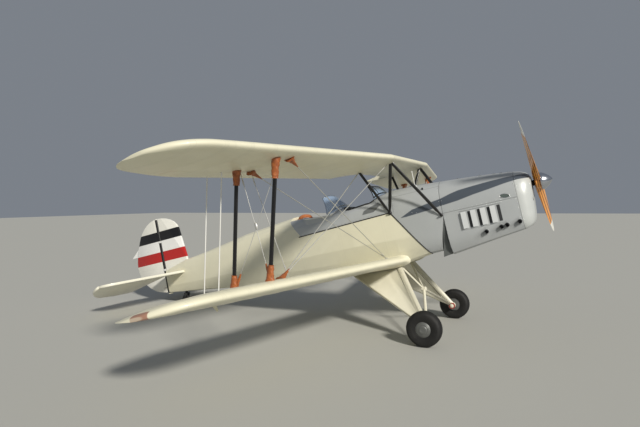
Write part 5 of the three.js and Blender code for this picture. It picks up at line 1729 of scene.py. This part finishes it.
def addSeat(name, x):
    half, thickness = seatSizes["halfWidth"], seatSizes["wingThickness"]
    bucket = Solid().slab([(x + u, -half, z) for u, z in seatSizes["bucket"]], (0, 2 * half, 0))
    for side in (-1, 1):
        bucket.slab([(x + u, side * half, z) for u, z in seatSizes["wing"]], (0, side * thickness, 0))
    addPiece(f"seat_{name}_bucket", bucket, "darkMetal", replaces=(f"seat_{name}",))
    for part in ("cushion", "back_pad"):
        row = seatSizes[part]
        u, z = row["spot"]
        cushion(f"seat_{name}_{part}", (x + u, 0, z), row["along"], row["normal"], row["size"], row["channels"])
    belts = Solid()
    for side in (-1, 1):
        for belt, lead in (("shoulder", (0, 1, 0)), ("lap", (1, 0, 0))):
            path = [(x + u, side * y, z) for u, y, z in seatSizes[belt]]
            belts.tube(path, seatSizes["beltHalf"], 8, seatSizes["beltFlat"], lead=lead)
    addPiece(f"seat_{name}_belts", belts, "webbing")
    buckle = Solid().block((x + 0.180, -0.032, 1.088), (x + 0.235, 0.032, 1.099))
    buckle.tube([(x + 0.2075, 0, 1.095), (x + 0.2075, 0, 1.105)], 0.018, 20)
    addPiece(f"seat_{name}_buckle", buckle, "steel")


dialSizes = {  # as shares of a dial's radius
    "bezel": [(0.88, -0.001), (1.10, -0.001), (1.10, 0.006), (1.02, 0.010), (0.90, 0.009), (0.88, 0.004)],
    "face": 0.9, "faceThickness": 0.002, "marks": 12, "mark": (0.66, 0.82), "needle": (-0.2, 0.7),
}


def addPanel(name, x):
    skin(f"instrument_panel_{name}", "panelBlack")
    bezels, faces, marks = Solid(), Solid(), Solid()
    back = x - 0.008
    thickness = dialSizes["faceThickness"]
    for k, (y, z, r) in enumerate(dials):
        centre = (back, y, z)
        bezels.spin([(r * share, h) for share, h in dialSizes["bezel"]], centre, (-1, 0, 0), 40, closed=True)
        edge = r * dialSizes["face"]
        faces.spin([(0, 0), (edge, 0), (edge, thickness), (0, thickness)], centre, (-1, 0, 0), 40)
        for a in turns(dialSizes["marks"]):
            out = Vector((0, math.cos(a), math.sin(a))) * r
            marks.tube([Vector((back - 0.0022, y, z)) + out * s for s in dialSizes["mark"]], 0.0011, 4)
        a = 0.9 + k * 1.7
        out = Vector((0, math.cos(a), math.sin(a))) * r
        marks.tube([Vector((back - 0.0028, y, z)) + out * s for s in dialSizes["needle"]], [0.0018, 0.0007], 6)
    addPiece(f"dial_bezels_{name}", bezels, "steel")
    addPiece(f"dial_faces_{name}", faces, "trim")
    addPiece(f"dial_marks_{name}", marks, "white")


stickSizes = {
    "top": 1.286, "foot": 0.806, "lean": 0.020, "floor": 0.8005,
    "places": [0, 0.7, 0.72, 0.73, 0.76, 0.79, 0.82, 0.85, 0.88, 0.91, 0.94, 0.97, 0.99, 1.0],
    "radii": [0.011, 0.011, 0.011, 0.018, 0.020, 0.0175, 0.020, 0.0175, 0.020, 0.0175, 0.020, 0.022, 0.018,
              0.008],
    "gaiter": [(0, 0), (0.045, 0), (0.043, 0.006), (0.034, 0.012), (0.036, 0.020), (0.026, 0.028),
               (0.028, 0.036), (0.016, 0.050), (0, 0.052)],
}


def addStick(name, x):
    node = f"control_stick_{name}"
    top, foot = Vector((x - stickSizes["lean"], 0, stickSizes["top"])), Vector((x, 0, stickSizes["foot"]))
    solid = Solid().tube([foot.lerp(top, s) for s in stickSizes["places"]], stickSizes["radii"], 20)
    solid.spin(stickSizes["gaiter"], (x, 0, stickSizes["floor"]), (0, 0, 1), 32)
    addPiece(node + "_column", solid, "trim", bodyOf[node], (node,))


def screenCurve(shape, share, offset=0.0):
    x, sweep, half, z, sideZ = shape
    angle = (share - 0.5) * math.pi * 0.96
    back = 1 - math.cos(angle)
    return Vector((x - sweep * back - offset, (half - offset) * math.sin(angle), z + (sideZ - z) * back))


def addScreen(name, row):
    foot, top, thickness = row["foot"], row["top"], row["frame"]
    columns, rows, middle = 44, 8, 0.0018
    solid = Solid()

    def spot(i, j, offset):
        share = i / columns
        low, high = screenCurve(foot, share, offset), screenCurve(top, share, offset)
        s = -0.10 + 1.10 * j / rows
        return low + (high - low) * s + Vector((0.012 * math.sin(math.pi * max(s, 0)), 0, 0))
    rings = []
    for i in range(columns + 1):
        outer = [spot(i, j, 0.0) for j in range(rows + 1)]
        inner = [spot(i, j, paneThickness) for j in range(rows, -1, -1)]
        rings.append(outer + inner)
    solid.loft(rings)
    node = f"windscreen_{name}"
    addPiece(node + "_pane", solid, "glass", replaces=(node,), angle=50)
    rim = Solid()
    edge = [spot(0, j, middle) for j in range(1, rows + 1)]
    edge += [spot(i, rows, middle) for i in range(1, columns)]
    edge += [spot(columns, j, middle) for j in range(rows, 0, -1)]
    rim.tube(edge, thickness, 10)
    base = [spot(i, 1, middle) for i in range(columns + 1)]
    rim.tube(base, thickness * 1.5, 10)
    for i in row["bars"]:
        rim.tube([spot(i, j, middle) for j in range(1, rows + 1)], thickness * 0.8, 8)
    addPiece(node + "_frame", rim, row["finish"])


rails = {
    "front": {"heights": [(-0.95, 1.552), (-0.762, 1.558), (-0.586, 1.575), (-0.40, 1.560)],
              "radius": 0.0105, "finish": "trim"},
    "rear": {"heights": [(-1.60, 1.604), (-1.525, 1.592), (-1.44, 1.572), (-1.366, 1.561), (-1.162, 1.545),
                         (-1.039, 1.547), (-0.90, 1.556)],
             "radius": 0.0095, "finish": "white"},
}
railSizes = {"corner": 0.120, "out": 0.012, "thickness": 0.006, "lowest": 1.38, "step": 0.025}


def railPath(name, row):  # round the opening, at the rail's height
    rail = monotone(*zip(*rails[name]["heights"]))
    path = []
    for x, y in roundedOpening(row["from"], row["to"], row["half"], railSizes["corner"], 0.010):
        met = onTop(x, y, 0.001)
        if met and met[0].z > 1.42:
            path.append(Vector((x, y, max(met[0].z, rail(x) - 0.006))))
    return evened(path, railSizes["step"])


def addCoamings():
    thickness = railSizes["thickness"]
    for name, row in cockpits.items():
        path = railPath(name, row)
        middle = (row["from"] + row["to"]) / 2
        wall = []
        for spot in path:
            out = Vector(((spot.x - middle) * 0.4, spot.y, 0)).normalized()
            foot = spot + out * railSizes["out"]
            met = onTop(foot.x, foot.y)
            base = Vector((foot.x, foot.y, max(met[0].z if met else 0, railSizes["lowest"]) - 0.006))
            inner = Vector((spot.x, spot.y, base.z - 0.004)) - out * thickness
            wall.append([base, spot, spot - out * thickness, inner])
        shell = Solid().loft(wall + wall[:1], cap=False)
        addPiece(f"cockpit_rail_{name}", shell, "metal", angle=50)
        roll = Solid().tube(path, rails[name]["radius"], 14, loop=True, lead=(0, 0, 1))
        addPiece(f"coaming_{name}", roll, rails[name]["finish"], angle=70)


headrest = {
    "spot": (-1.620, 0, 1.5925),
    "long": 0.101,
    "wide": 0.117,
    "high": 0.069,
    "seam": 0.34,
    "welt": 0.0045,
}


def addHeadrest():
    centre = Vector(headrest["spot"])
    long, wide, high = (headrest[key] for key in ("long", "wide", "high"))
    rings = []
    for i in range(25):
        s = i / 24
        a = math.pi / 2 * s
        spread, rise = (math.cos(a) ** 0.8 if i else 0.97), math.sin(a) ** 0.9
        spread *= 1 - 0.05 * math.exp(-((s - headrest["seam"]) / 0.04) ** 2)
        rings.append([centre + Vector((long * spread * math.cos(t), wide * spread * math.sin(t),
                                       high * rise * (1 - 0.05 * math.cos(2 * t) * s))) for t in turns(48)])
    rings = [[centre + (point - centre) * 0.9 for point in rings[0]]] + rings
    node = "headrest"
    piece = addPiece(node + "_pad", Solid().loft(rings), "headrest", replaces=(node,), angle=70)
    long, wide = long + 0.001, wide + 0.001
    welt = [centre + Vector((long * math.cos(t), wide * math.sin(t), 0.005)) for t in turns(60)]
    addPiece(node + "_welt", Solid().tube(welt, headrest["welt"], 8, loop=True), "boot")


def addCockpits():
    for name, row in cockpits.items():
        addSeat(name, row["seatX"])
        addPanel(name, row["panelX"])
        addStick(name, row["stickX"])
    for name, row in screens.items():
        addScreen(name, row)
    addCoamings()
    addHeadrest()


addCockpits()
print("cockpits made")
